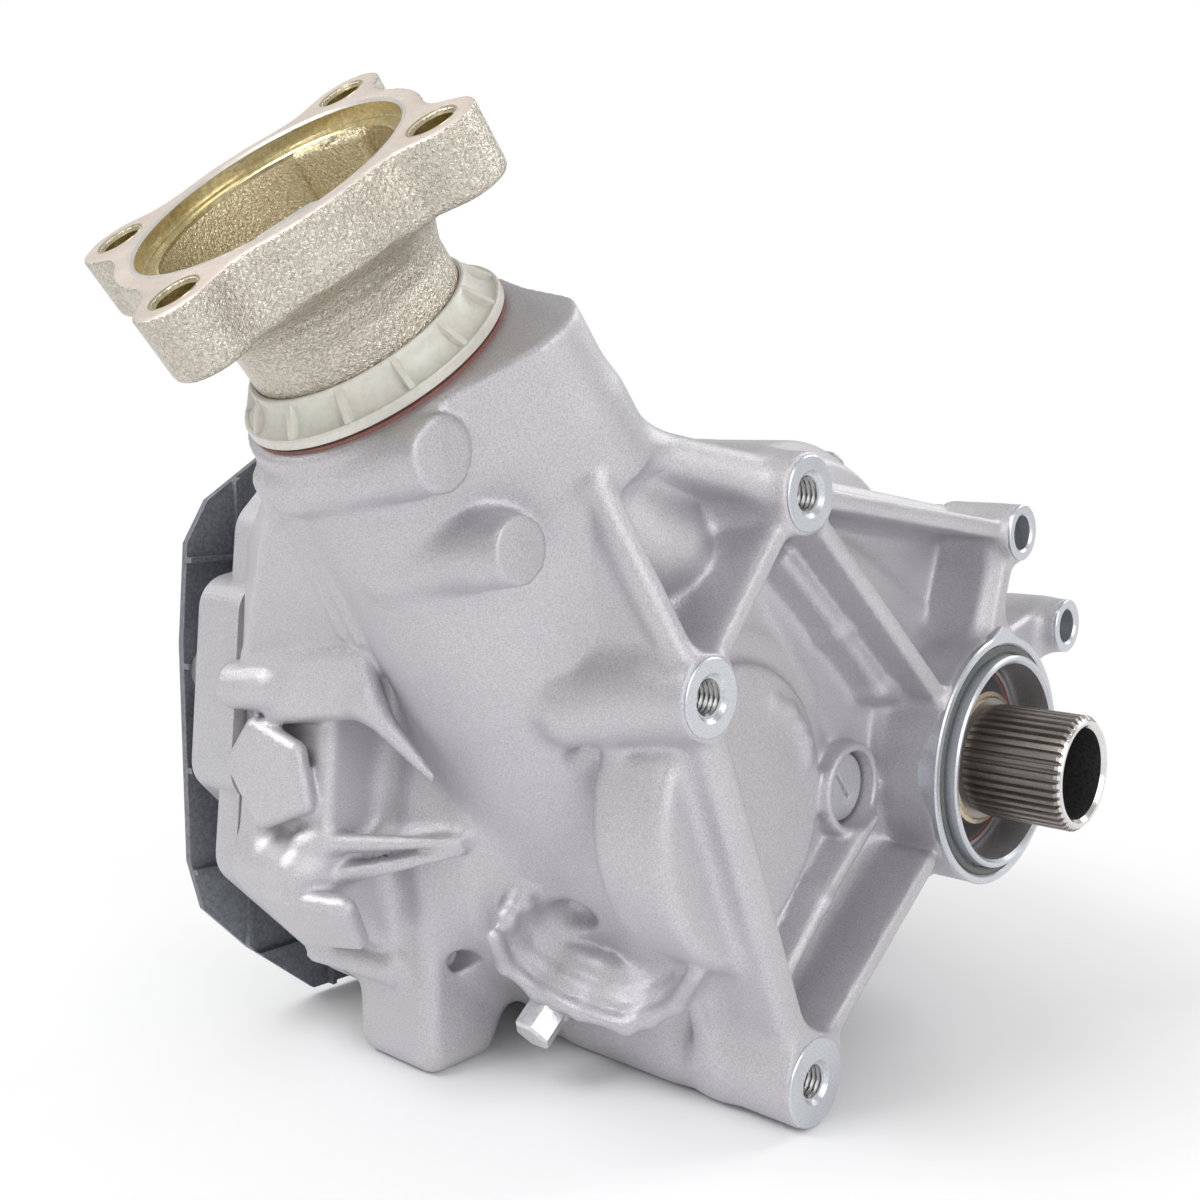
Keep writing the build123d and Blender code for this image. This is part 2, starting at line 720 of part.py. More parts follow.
with BuildPart() as output_seal:
    with BuildSketch(through(spot(pinion_x, ring_a, neck_top - 1), along * -1)):
        seal_profile(taper_outer_r, flange_sleeve_r)
    revolve(axis=output_axis)
output_seal.part.label = "output_seal"
export_step(output_seal.part, "parts/output_seal.step")

# Ball bearings of the input shaft. Balls and inner rings turn with it.

ball_pitch_r = (input_seat_r + ball_outer_r) / 2
ball_r = ball_share * (ball_outer_r - input_seat_r)
ball_land = 0.45 * ball_r
ball_count = int(2 * pi * ball_pitch_r / (2.6 * ball_r))


def ball_ring(x, low, high):
    """Section of one ring with its groove."""
    with Locations((x + ball_width / 2, (low + high) / 2)):
        Rectangle(ball_width, high - low)
    with Locations((x + ball_width / 2, ball_pitch_r)):
        Circle(ball_r + race_gap, mode=Mode.SUBTRACT)


with BuildPart() as input_bearing_right_outer:
    with BuildSketch(input_section):
        ball_ring(right_ball_x, ball_pitch_r + ball_land, ball_outer_r)
    revolve(axis=input_axis)
input_bearing_right_outer.part.label = "input_bearing_right_outer"
export_step(input_bearing_right_outer.part, "parts/input_bearing_right_outer.step")

with BuildPart() as input_bearing_right_inner:
    with BuildSketch(input_section):
        ball_ring(right_ball_x, input_seat_r + seat_gap, ball_pitch_r - ball_land)
    revolve(axis=input_axis)
input_bearing_right_inner.part.label = "input_bearing_right_inner"
export_step(input_bearing_right_inner.part, "parts/input_bearing_right_inner.step")

with BuildPart(facing(spot(right_ball_x + ball_width / 2, 0, 0), right)) as input_balls_right:
    with PolarLocations(ball_pitch_r, ball_count):
        Sphere(ball_r)
input_balls_right.part.label = "input_balls_right"
export_step(input_balls_right.part, "parts/input_balls_right.step")

with BuildPart() as input_bearing_left_outer:
    with BuildSketch(input_section):
        ball_ring(left_ball_x, ball_pitch_r + ball_land, ball_outer_r)
    revolve(axis=input_axis)
input_bearing_left_outer.part.label = "input_bearing_left_outer"
export_step(input_bearing_left_outer.part, "parts/input_bearing_left_outer.step")

with BuildPart() as input_bearing_left_inner:
    with BuildSketch(input_section):
        ball_ring(left_ball_x, input_seat_r + seat_gap, ball_pitch_r - ball_land)
    revolve(axis=input_axis)
input_bearing_left_inner.part.label = "input_bearing_left_inner"
export_step(input_bearing_left_inner.part, "parts/input_bearing_left_inner.step")

with BuildPart(facing(spot(left_ball_x + ball_width / 2, 0, 0), right)) as input_balls_left:
    with PolarLocations(ball_pitch_r, ball_count):
        Sphere(ball_r)
input_balls_left.part.label = "input_balls_left"
export_step(input_balls_left.part, "parts/input_balls_left.step")

# Taper roller bearings. Each is drawn from its narrow end, where the cone is thinnest.

roller_lean = tan(radians(roller_slope))
roller_reach = (roller_r + race_gap) / cos(radians(roller_slope))


def roller_pitch(bore_r, outer_r, width, x):
    """Radius of the rollers' centre line at a distance from the narrow end."""
    return bore_r + 0.52 * (outer_r - bore_r) + (x - width / 2) * roller_lean


def cup_profile(bore_r, outer_r, width):
    inner = [roller_pitch(bore_r, outer_r, width, x) + roller_reach for x in (0, width)]
    outline((0, outer_r), (width, outer_r), (width, inner[1]), (0, inner[0]))


def cone_profile(bore_r, outer_r, width):
    """The cone has a thrust rib at its wide end."""
    rib_x = width - 1.6
    race = [roller_pitch(bore_r, outer_r, width, x) - roller_reach for x in (0, rib_x)]
    outline((0, bore_r + seat_gap), (width, bore_r + seat_gap), (width, race[1] + 1.5),
            (rib_x, race[1] + 1.5), (rib_x, race[1]), (0, race[0]))


def rollers(bore_r, outer_r, width):
    pitch_r = roller_pitch(bore_r, outer_r, width, width / 2)
    count = int(2 * pi * pitch_r / (2.4 * roller_r))
    with PolarLocations(pitch_r, count):
        Cylinder(roller_r, width - 6, rotation=(0, roller_slope, 0))


with BuildPart() as ring_bearing_right_cup:
    with BuildSketch(through(spot(right_narrow, ring_a, ring_p), right * -1)):
        cup_profile(taper_bore_r, taper_outer_r, taper_width)
    revolve(axis=ring_axis)
ring_bearing_right_cup.part.label = "ring_bearing_right_cup"
export_step(ring_bearing_right_cup.part, "parts/ring_bearing_right_cup.step")

with BuildPart() as ring_bearing_right_cone:
    with BuildSketch(through(spot(right_narrow, ring_a, ring_p), right * -1)):
        cone_profile(taper_bore_r, taper_outer_r, taper_width)
    revolve(axis=ring_axis)
ring_bearing_right_cone.part.label = "ring_bearing_right_cone"
export_step(ring_bearing_right_cone.part, "parts/ring_bearing_right_cone.step")

with BuildPart(facing(spot(right_narrow - taper_width / 2, ring_a, ring_p),
                      right * -1)) as ring_rollers_right:
    rollers(taper_bore_r, taper_outer_r, taper_width)
ring_rollers_right.part.label = "ring_rollers_right"
export_step(ring_rollers_right.part, "parts/ring_rollers_right.step")

with BuildPart() as ring_bearing_left_cup:
    with BuildSketch(through(spot(left_taper_x, ring_a, ring_p), right)):
        cup_profile(taper_bore_r, taper_outer_r, taper_width)
    revolve(axis=ring_axis)
ring_bearing_left_cup.part.label = "ring_bearing_left_cup"
export_step(ring_bearing_left_cup.part, "parts/ring_bearing_left_cup.step")

with BuildPart() as ring_bearing_left_cone:
    with BuildSketch(through(spot(left_taper_x, ring_a, ring_p), right)):
        cone_profile(taper_bore_r, taper_outer_r, taper_width)
    revolve(axis=ring_axis)
ring_bearing_left_cone.part.label = "ring_bearing_left_cone"
export_step(ring_bearing_left_cone.part, "parts/ring_bearing_left_cone.step")

with BuildPart(facing(spot(left_taper_x + taper_width / 2, ring_a, ring_p),
                      right)) as ring_rollers_left:
    rollers(taper_bore_r, taper_outer_r, taper_width)
ring_rollers_left.part.label = "ring_rollers_left"
export_step(ring_rollers_left.part, "parts/ring_rollers_left.step")

with BuildPart() as pinion_head_cup:
    with BuildSketch(through(spot(pinion_x, ring_a, head_narrow), along * -1)):
        cup_profile(head_bore_r, head_outer_r, head_width)
    revolve(axis=output_axis)
pinion_head_cup.part.label = "pinion_head_cup"
export_step(pinion_head_cup.part, "parts/pinion_head_cup.step")

with BuildPart() as pinion_head_cone:
    with BuildSketch(through(spot(pinion_x, ring_a, head_narrow), along * -1)):
        cone_profile(head_bore_r, head_outer_r, head_width)
    revolve(axis=output_axis)
pinion_head_cone.part.label = "pinion_head_cone"
export_step(pinion_head_cone.part, "parts/pinion_head_cone.step")

with BuildPart(facing(spot(pinion_x, ring_a, head_seat + head_width / 2),
                      along * -1)) as pinion_head_rollers:
    rollers(head_bore_r, head_outer_r, head_width)
pinion_head_rollers.part.label = "pinion_head_rollers"
export_step(pinion_head_rollers.part, "parts/pinion_head_rollers.step")

with BuildPart() as pinion_tail_cup:
    with BuildSketch(through(spot(pinion_x, ring_a, tail_seat), along)):
        cup_profile(taper_bore_r, taper_outer_r, taper_width)
    revolve(axis=output_axis)
pinion_tail_cup.part.label = "pinion_tail_cup"
export_step(pinion_tail_cup.part, "parts/pinion_tail_cup.step")

with BuildPart() as pinion_tail_cone:
    with BuildSketch(through(spot(pinion_x, ring_a, tail_seat), along)):
        cone_profile(taper_bore_r, taper_outer_r, taper_width)
    revolve(axis=output_axis)
pinion_tail_cone.part.label = "pinion_tail_cone"
export_step(pinion_tail_cone.part, "parts/pinion_tail_cone.step")

with BuildPart(facing(spot(pinion_x, ring_a, tail_seat + taper_width / 2),
                      along)) as pinion_tail_rollers:
    rollers(taper_bore_r, taper_outer_r, taper_width)
pinion_tail_rollers.part.label = "pinion_tail_rollers"
export_step(pinion_tail_rollers.part, "parts/pinion_tail_rollers.step")

# Input shaft and its gear

with BuildPart() as input_shaft:
    with BuildSketch(input_section):
        outline((input_end_x, shaft_bore_r), (input_end_x, seal_journal_r),
                (left_ball_x, seal_journal_r), (left_ball_x, input_seat_r),
                (left_seat_x, input_seat_r), (left_seat_x, input_gear_r),
                (gear_x + gear_width, input_gear_r), (gear_x + gear_width, input_collar_r + 4),
                (gear_x + gear_width + 5, input_collar_r + 4),
                (gear_x + gear_width + 5, input_collar_r), (right_ball_x, input_collar_r),
                (right_ball_x, input_seat_r), (right_ball_x + ball_width, input_seat_r),
                (right_ball_x + ball_width, seal_journal_r), (spline_start_x, seal_journal_r),
                (spline_start_x, spline_root_r), (spline_reach, spline_root_r),
                (spline_reach, shaft_bore_r))
    revolve(axis=input_axis)
    with BuildSketch(side(spline_start_x)):
        teeth(spline_teeth, spline_module, spline_root_r, spline_tip_r)
    extrude(amount=spline_reach - spline_start_x)
    with BuildSketch(input_section):
        outline((spline_reach - end_chamfer, spline_tip_r + 1), (spline_reach + 1, spline_tip_r + 1),
                (spline_reach + 1, spline_tip_r - end_chamfer),
                (spline_reach, spline_tip_r - end_chamfer), (spline_reach - end_chamfer, spline_tip_r))
    revolve(axis=input_axis, mode=Mode.SUBTRACT)
input_shaft.part.label = "input_shaft"
export_step(input_shaft.part, "parts/input_shaft.step")

with BuildPart() as drive_gear:
    with BuildSketch(side(gear_x)):
        Circle(drive_pitch_r - 1.25 * gear_module)
        teeth(drive_teeth, gear_module, drive_pitch_r - 1.25 * gear_module,
              drive_pitch_r + gear_module, shaft_direction)
        Circle(input_gear_r + seat_gap, mode=Mode.SUBTRACT)
    extrude(amount=gear_width)
    with BuildSketch(side(gear_x), side(gear_x + gear_width - gear_recess)):
        Circle(drive_pitch_r - gear_rim)
        Circle(input_gear_r + 6, mode=Mode.SUBTRACT)
    extrude(amount=gear_recess, mode=Mode.SUBTRACT)
drive_gear.part.label = "drive_gear"
export_step(drive_gear.part, "parts/drive_gear.step")

# Ring gear shaft, the driven gear and the ring gear

with BuildPart() as ring_gear_shaft:
    with BuildSketch(ring_section):
        outline((left_taper_x, 0), (left_taper_x, taper_bore_r), (left_seat_x, taper_bore_r),
                (left_seat_x, gear_seat_r), (gear_x + gear_width, gear_seat_r),
                (gear_x + gear_width, gear_seat_r + 4), (ring_back_x - ring_flange, gear_seat_r + 4),
                (ring_back_x - ring_flange, ring_flange_r), (ring_back_x, ring_flange_r),
                (ring_back_x, ring_shaft_r), (ring_back_x + ring_hub, ring_shaft_r),
                (ring_back_x + ring_hub, gear_seat_r + 2), (right_taper_x, gear_seat_r + 2),
                (right_taper_x, taper_bore_r), (right_narrow, taper_bore_r), (right_narrow, 0))
    revolve(axis=ring_axis)
    with BuildSketch(side(ring_back_x, ring_a, ring_p)):
        with PolarLocations(ring_bolt_circle, ring_bolts):
            Circle(bolt_r + bolt_clearance)
    extrude(amount=-ring_flange, mode=Mode.SUBTRACT)
ring_gear_shaft.part.label = "ring_gear_shaft"
export_step(ring_gear_shaft.part, "parts/ring_gear_shaft.step")

with BuildPart() as driven_gear:
    with BuildSketch(side(gear_x, ring_a, ring_p)):
        Circle(driven_pitch_r - 1.25 * gear_module)
        teeth(driven_teeth, gear_module, driven_pitch_r - 1.25 * gear_module,
              driven_pitch_r + gear_module, shaft_direction + 180 + 180 / driven_teeth)
        Circle(gear_seat_r + seat_gap, mode=Mode.SUBTRACT)
    extrude(amount=gear_width)
    with BuildSketch(side(gear_x, ring_a, ring_p),
                     side(gear_x + gear_width - gear_recess, ring_a, ring_p)):
        Circle(driven_pitch_r - gear_rim)
        Circle(gear_seat_r + 6, mode=Mode.SUBTRACT)
    extrude(amount=gear_recess, mode=Mode.SUBTRACT)
driven_gear.part.label = "driven_gear"
export_step(driven_gear.part, "parts/driven_gear.step")

# Bevel gears are drawn from the point where their axes meet, by the pitch angle of each gear


def on_cone(angle, distance, height=0.0):
    """Place along the axis and radius, by distance from the tip and height over the cone."""
    c, s = cos(radians(angle)), sin(radians(angle))
    return (distance * c - height * s, distance * s + height * c)


def tooth_plane(angle, distance):
    """Square to the pitch cone: y runs into the gear."""
    along_cone, radius = on_cone(angle, distance)
    return Plane(origin=(radius, 0, along_cone), x_dir=(0, 1, 0),
                 z_dir=(sin(radians(angle)), 0, cos(radians(angle))))


def tooth_profile(distance):
    share = distance / cone_distance
    top, bottom = -bevel_tip * share, (bevel_root + 0.6) * share
    half = pi * bevel_module * bevel_thickness / 2 * share
    flank = tan(radians(20))
    outline((-half - bottom * flank, bottom), (half + bottom * flank, bottom),
            (half + top * flank, top), (-half - top * flank, top))


tooth_inset = 0.5               # teeth end this far inside the blank
inner_distance = cone_distance - bevel_face
inner_share = inner_distance / cone_distance
apex = spot(pinion_x, ring_a, ring_p)

with BuildPart() as ring_tooth:
    with BuildSketch(tooth_plane(ring_cone, inner_distance)):
        tooth_profile(inner_distance)
    with BuildSketch(tooth_plane(ring_cone, cone_distance)):
        tooth_profile(cone_distance)
    loft()

with BuildPart(Plane(origin=apex, x_dir=along, z_dir=right * -1)) as ring_gear:
    back = pinion_x - ring_back_x
    inner_root = on_cone(ring_cone, inner_distance - tooth_inset, -bevel_root * inner_share)
    outer_root = on_cone(ring_cone, cone_distance + tooth_inset, -bevel_root)
    with BuildSketch(through(apex, right * -1)):
        outline(inner_root, outer_root, (outer_root[0] + 6, outer_root[1] - 2),
                (back, outer_root[1] - 2), (back, ring_shaft_r + seat_gap),
                (back - ring_hub, ring_shaft_r + seat_gap), (inner_root[0] + 1, inner_root[1] - 4))
    revolve(axis=ring_axis)
    with PolarLocations(0, ring_teeth, start_angle=180 / ring_teeth):
        add(ring_tooth.part)
    with BuildSketch(side(ring_back_x, ring_a, ring_p)):
        with PolarLocations(ring_bolt_circle, ring_bolts):
            Circle(bolt_r + seat_gap)
    extrude(amount=ring_bolt_reach + 1, mode=Mode.SUBTRACT)
ring_gear.part.label = "ring_gear"
export_step(ring_gear.part, "parts/ring_gear.step")

with BuildPart() as ring_gear_bolts:
    with BuildSketch(side(ring_back_x - ring_flange, ring_a, ring_p)):
        with PolarLocations(ring_bolt_circle, ring_bolts):
            Circle(bolt_r)
    extrude(amount=ring_flange + ring_bolt_reach)
    with BuildSketch(side(ring_back_x - ring_flange, ring_a, ring_p)):
        with PolarLocations(ring_bolt_circle, ring_bolts):
            RegularPolygon(bolt_head_r, 6)
    extrude(amount=-ring_bolt_head)
ring_gear_bolts.part.label = "ring_gear_bolts"
export_step(ring_gear_bolts.part, "parts/ring_gear_bolts.step")

# Pinion shaft with what is clamped on it

with BuildPart() as pinion_tooth:
    with BuildSketch(tooth_plane(pinion_cone, inner_distance)):
        tooth_profile(inner_distance)
    with BuildSketch(tooth_plane(pinion_cone, cone_distance)):
        tooth_profile(cone_distance)
    loft()

thread_end = flange_floor + output_thread
with BuildPart(Plane(origin=apex, x_dir=right * -1, z_dir=along)) as pinion_shaft:
    inner_root = on_cone(pinion_cone, inner_distance - tooth_inset, -bevel_root * inner_share)
    outer_root = on_cone(pinion_cone, cone_distance + tooth_inset, -bevel_root)
    with BuildSketch(through(apex, along)):
        back = gear_back - ring_p
        outline((inner_root[0], 0), inner_root, outer_root, (back, outer_root[1]), (back, 0))
    revolve(axis=output_axis)
    with PolarLocations(0, pinion_teeth):
        add(pinion_tooth.part)
    with BuildSketch(output_section):
        outline((0, gear_back - 2), (head_bore_r, gear_back - 2), (head_bore_r, head_narrow),
                (taper_bore_r, head_narrow), (taper_bore_r, tail_end),
                (output_root_r, tail_end), (output_root_r, flange_floor - 2),
                (output_thread_r, flange_floor - 2), (output_thread_r, thread_end - 1),
                (output_thread_r - 1, thread_end), (0, thread_end))
    revolve(axis=output_axis)
    with BuildSketch(level(tail_end)):
        teeth(output_teeth, output_module, output_root_r, output_spline_r)
    extrude(amount=flange_floor - tail_end - 2)
pinion_shaft.part.label = "pinion_shaft"
export_step(pinion_shaft.part, "parts/pinion_shaft.step")

with BuildPart() as pinion_shim:
    with BuildSketch(level(gear_back)):
        Circle(head_bore_r + 4)
        Circle(head_bore_r + seat_gap, mode=Mode.SUBTRACT)
    extrude(amount=shim)
pinion_shim.part.label = "pinion_shim"
export_step(pinion_shim.part, "parts/pinion_shim.step")

with BuildPart() as collapsible_spacer:
    spacer_middle = (head_narrow + tail_seat) / 2
    spacer_r = taper_bore_r + seat_gap
    with BuildSketch(output_section):
        outline((spacer_r, head_narrow), (spacer_r, spacer_middle - 10),
                (spacer_r + 3, spacer_middle - 4), (spacer_r + 3, spacer_middle + 4),
                (spacer_r, spacer_middle + 10), (spacer_r, tail_seat),
                (spacer_r + 2, tail_seat), (spacer_r + 2, spacer_middle + 11),
                (spacer_r + 5, spacer_middle + 5), (spacer_r + 5, spacer_middle - 5),
                (spacer_r + 2, spacer_middle - 11), (spacer_r + 2, head_narrow))
    revolve(axis=output_axis)
collapsible_spacer.part.label = "collapsible_spacer"
export_step(collapsible_spacer.part, "parts/collapsible_spacer.step")

# Companion flange, with its dust ring, washer and nut

with BuildPart() as companion_flange:
    ear_base = flange_face - flange_ear
    with BuildSketch(output_section):
        outline((0, tail_end), (flange_sleeve_r, tail_end),
                (flange_sleeve_r, flange_hub_base), (flange_hub_r, flange_hub_base),
                (flange_hub_r, flange_hub_base + 18), (flange_body_r - 6, ear_base - 2),
                (flange_body_r, ear_base + 2), (flange_body_r, flange_face), (0, flange_face))
    revolve(axis=output_axis)
    with BuildSketch(level(ear_base)):
        for turn in range(flange_ears):
            angle = flange_ear_angle + turn * 360 / flange_ears
            hull((*polar(angle, flange_bolt_circle), flange_ear_r),
                 (*polar(angle, flange_body_r - 20), flange_ear_r + 6))
    extrude(amount=flange_ear)
    with BuildSketch(level(flange_face)):
        Circle(flange_pilot_r)
    extrude(amount=-flange_pilot_depth, mode=Mode.SUBTRACT)
    with BuildSketch(level(flange_face)):
        Circle(flange_cup_r)
    extrude(amount=flange_floor - flange_face, mode=Mode.SUBTRACT)
    with BuildSketch(level(flange_face)):
        with PolarLocations(flange_bolt_circle, flange_ears, start_angle=flange_ear_angle):
            Circle(flange_hole_r)
    extrude(amount=-flange_ear, mode=Mode.SUBTRACT)
    with BuildSketch(level(tail_end)):
        Circle(output_root_r + seat_gap)
        teeth(output_teeth, output_module, output_root_r + seat_gap, output_spline_r + seat_gap,
              spare=2 * seat_gap)
    extrude(amount=flange_floor - tail_end, mode=Mode.SUBTRACT)
companion_flange.part.label = "companion_flange"
export_step(companion_flange.part, "parts/companion_flange.step")

with BuildPart() as dust_ring:
    with BuildSketch(output_section):
        outline((flange_hub_r + seat_gap, dust_ring_base), (dust_ring_r, dust_ring_base),
                (dust_ring_r, dust_ring_base + 3), (dust_ring_r - 3, dust_ring_base + dust_height),
                (flange_hub_r + seat_gap, dust_ring_base + dust_height))
    revolve(axis=output_axis)
dust_ring.part.label = "dust_ring"
export_step(dust_ring.part, "parts/dust_ring.step")

with BuildPart() as pinion_washer:
    with BuildSketch(level(flange_floor)):
        Circle(pinion_nut_r + 1)
        Circle(output_thread_r + seat_gap, mode=Mode.SUBTRACT)
    extrude(amount=washer_thickness)
pinion_washer.part.label = "pinion_washer"
export_step(pinion_washer.part, "parts/pinion_washer.step")

with BuildPart() as pinion_nut:
    with BuildSketch(level(flange_floor + washer_thickness)):
        RegularPolygon(pinion_nut_r, 6)
        Circle(output_thread_r + seat_gap, mode=Mode.SUBTRACT)
    extrude(amount=nut_height)
pinion_nut.part.label = "pinion_nut"
export_step(pinion_nut.part, "parts/pinion_nut.step")
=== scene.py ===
import json
import math
import bmesh
import bpy
import numpy as np
from mathutils import Matrix, Vector

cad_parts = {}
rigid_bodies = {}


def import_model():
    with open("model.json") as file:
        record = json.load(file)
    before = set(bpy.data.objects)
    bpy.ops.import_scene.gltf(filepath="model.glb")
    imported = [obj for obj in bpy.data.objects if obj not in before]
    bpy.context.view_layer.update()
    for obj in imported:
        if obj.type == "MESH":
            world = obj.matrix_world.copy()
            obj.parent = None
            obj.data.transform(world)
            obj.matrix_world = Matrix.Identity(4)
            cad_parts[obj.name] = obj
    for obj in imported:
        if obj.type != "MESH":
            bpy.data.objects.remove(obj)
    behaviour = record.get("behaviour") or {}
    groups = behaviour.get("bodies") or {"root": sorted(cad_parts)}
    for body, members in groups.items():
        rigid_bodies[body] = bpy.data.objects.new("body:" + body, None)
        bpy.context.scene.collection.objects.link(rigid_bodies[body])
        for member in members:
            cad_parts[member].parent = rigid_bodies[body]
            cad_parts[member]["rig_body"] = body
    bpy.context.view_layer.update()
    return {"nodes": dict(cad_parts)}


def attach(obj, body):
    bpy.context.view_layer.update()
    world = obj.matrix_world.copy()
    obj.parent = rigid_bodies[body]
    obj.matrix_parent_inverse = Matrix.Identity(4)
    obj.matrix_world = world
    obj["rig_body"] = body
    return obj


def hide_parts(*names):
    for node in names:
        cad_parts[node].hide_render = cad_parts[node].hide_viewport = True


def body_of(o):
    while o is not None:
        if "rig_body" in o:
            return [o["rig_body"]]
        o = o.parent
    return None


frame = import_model()
print("frame loaded:", len(frame["nodes"]), "nodes")

# Places are given in millimetres as (x, across, along):
# x out along the input shaft, across square to both shafts, along the output shaft.
lean = math.radians(39.0)
leanSin, leanCos = math.sin(lean), math.cos(lean)
floorZ = -100.5
outputAxis = (-82.0, -85.09)     # x and across of the output shaft
ringCenter = (-85.09, 58.04)     # across and along of the ring gear shaft
flangeFace, neckTop = 309.6, 251.0


def toFrame(points):  # turns (x, across, along) in mm into the frame's metres
    points = np.asarray(points, float)
    x, a, p = points[..., 0], points[..., 1], points[..., 2]
    return np.stack([x, leanCos * a - leanSin * p, leanSin * a + leanCos * p], -1) / 1000.0


def fromStand(y, z):  # turns depth and height into across and along
    return leanCos * y + leanSin * z, leanCos * z - leanSin * y


def meshVolume(points, faceSets):  # six times the volume: above nought where faces point outwards
    total = 0.0
    for faces in faceSets:
        for k in range(1, faces.shape[1] - 1):
            across = np.cross(points[faces[:, k]], points[faces[:, k + 1]])
            total += np.einsum("ij,ij->i", points[faces[:, 0]], across).sum()
    return total


def addMesh(name, points, faceSets, body, materials, replaced=(), marks=None, sharp=None,
            normals=None):
    # faceSets are arrays of corner numbers; marks gives each face its material's number
    points = np.asarray(points, float)
    used, corners = np.unique(np.concatenate([f.ravel() for f in faceSets]), return_inverse=True)
    points = points[used]
    starts = np.cumsum([0] + [f.size for f in faceSets])
    faceSets = [corners[a:b].reshape(f.shape) for a, b, f in zip(starts, starts[1:], faceSets)]
    if normals is None and meshVolume(points, faceSets) < 0:
        faceSets = [f[:, ::-1] for f in faceSets]
    mesh = bpy.data.meshes.new(name)
    corners = np.concatenate([f.ravel() for f in faceSets]).astype(np.int32)
    counts = np.concatenate([np.full(len(f), f.shape[1]) for f in faceSets])
    mesh.vertices.add(len(points))
    mesh.vertices.foreach_set("co", points.astype(np.float32).ravel())
    mesh.loops.add(len(corners))
    mesh.loops.foreach_set("vertex_index", corners)
    mesh.polygons.add(len(counts))
    mesh.polygons.foreach_set("loop_start", (np.cumsum(counts) - counts).astype(np.int32))
    mesh.polygons.foreach_set("use_smooth", np.ones(len(counts), bool))
    for material in materials:
        mesh.materials.append(material)
    if marks is not None:
        mesh.polygons.foreach_set("material_index", marks.astype(np.int32))
    mesh.update(calc_edges=True)
    if sharp:
        mesh.set_sharp_from_angle(angle=math.radians(sharp))
    if normals is not None:
        mesh.normals_split_custom_set_from_vertices(normals[used])
    return place(name, mesh, body, replaced)


def place(name, mesh, body, replaced=()):  # at the origin, riding on its body
    piece = bpy.data.objects.new(name, mesh)
    bpy.context.scene.collection.objects.link(piece)
    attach(piece, body)
    if replaced:
        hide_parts(*replaced)
    return piece


def lathe(profile, center=(0.0, 0.0), alongOutput=False, turns=144, wave=None):
    # profile of (place on the axis, radius) carried round the axis and closed on itself;
    # wave(place, radius, angle) may change the radius round the turn
    profile = np.asarray(profile, float)
    angle = np.linspace(0, 2 * np.pi, turns, endpoint=False)
    axial, radius = [profile[:, k:k + 1] + 0 * angle for k in (0, 1)]
    if wave:
        radius = wave(axial, radius, angle + 0 * axial)
    first, second = center[0] + radius * np.cos(angle), center[1] + radius * np.sin(angle)
    points = np.stack([first, second, axial] if alongOutput else [axial, first, second], -1)
    row, col = np.meshgrid(np.arange(len(profile)), np.arange(turns), indexing="ij")
    nextRow, nextCol = (row + 1) % len(profile), (col + 1) % turns
    quads = np.stack([row * turns + col, row * turns + nextCol,
                      nextRow * turns + nextCol, nextRow * turns + col], -1)
    return toFrame(points.reshape(-1, 3)), quads.reshape(-1, 4), row.ravel()


def turnedPiece(name, profile, body, slot, materials, rowMarks=None, replaced=(), sharp=32, **shape):
    # a lathed profile; rowMarks gives the band of faces behind each place of it its material's number
    points, quads, rows = lathe(profile, **shape)
    marks = None if rowMarks is None else np.asarray(rowMarks)[rows]
    return addMesh(name, points, [quads], body, materials, replaced, marks, sharp)


def lowerTop(mesh, base, share):
    # what stands above a place on the output shaft is brought down to a share of its height
    spots = np.empty(len(mesh.vertices) * 3, np.float32)
    mesh.vertices.foreach_get("co", spots)
    spots = spots.reshape(-1, 3)
    axis = np.array((0.0, -leanSin, leanCos))
    above = np.maximum(spots @ axis - base / 1000, 0)
    spots = spots - above[:, None] * axis * (1 - share)
    mesh.vertices.foreach_set("co", spots.astype(np.float32).ravel())


def dressed(node, material, slot, edge, lowered=None):
    # a copy of the node's mesh with its loose triangles joined, its flats made whole and its
    # edges broken
    source = frame["nodes"][node]
    work = bmesh.new()
    work.from_mesh(source.data)
    bmesh.ops.remove_doubles(work, verts=work.verts, dist=2e-6)
    bmesh.ops.dissolve_limit(work, angle_limit=math.radians(0.3), verts=work.verts, edges=work.edges)
    mesh = bpy.data.meshes.new(node + "Shape")
    work.to_mesh(mesh)
    work.free()
    if lowered:
        lowerTop(mesh, *lowered)
    mesh.polygons.foreach_set("use_smooth", np.ones(len(mesh.polygons), bool))
    mesh.polygons.foreach_set("material_index", np.zeros(len(mesh.polygons), np.int32))
    mesh.set_sharp_from_angle(angle=math.radians(35))
    mesh.materials.clear()
    mesh.materials.append(material)
    piece = place(node + "_shape", mesh, body_of(source)[0], (node,))
    bevel = piece.modifiers.new("brokenEdges", "BEVEL")
    bevel.width = edge / 1000
    bevel.segments = 2
    bevel.limit_method = "ANGLE"
    bevel.angle_limit = math.radians(35)
    bevel.harden_normals = True


# materials

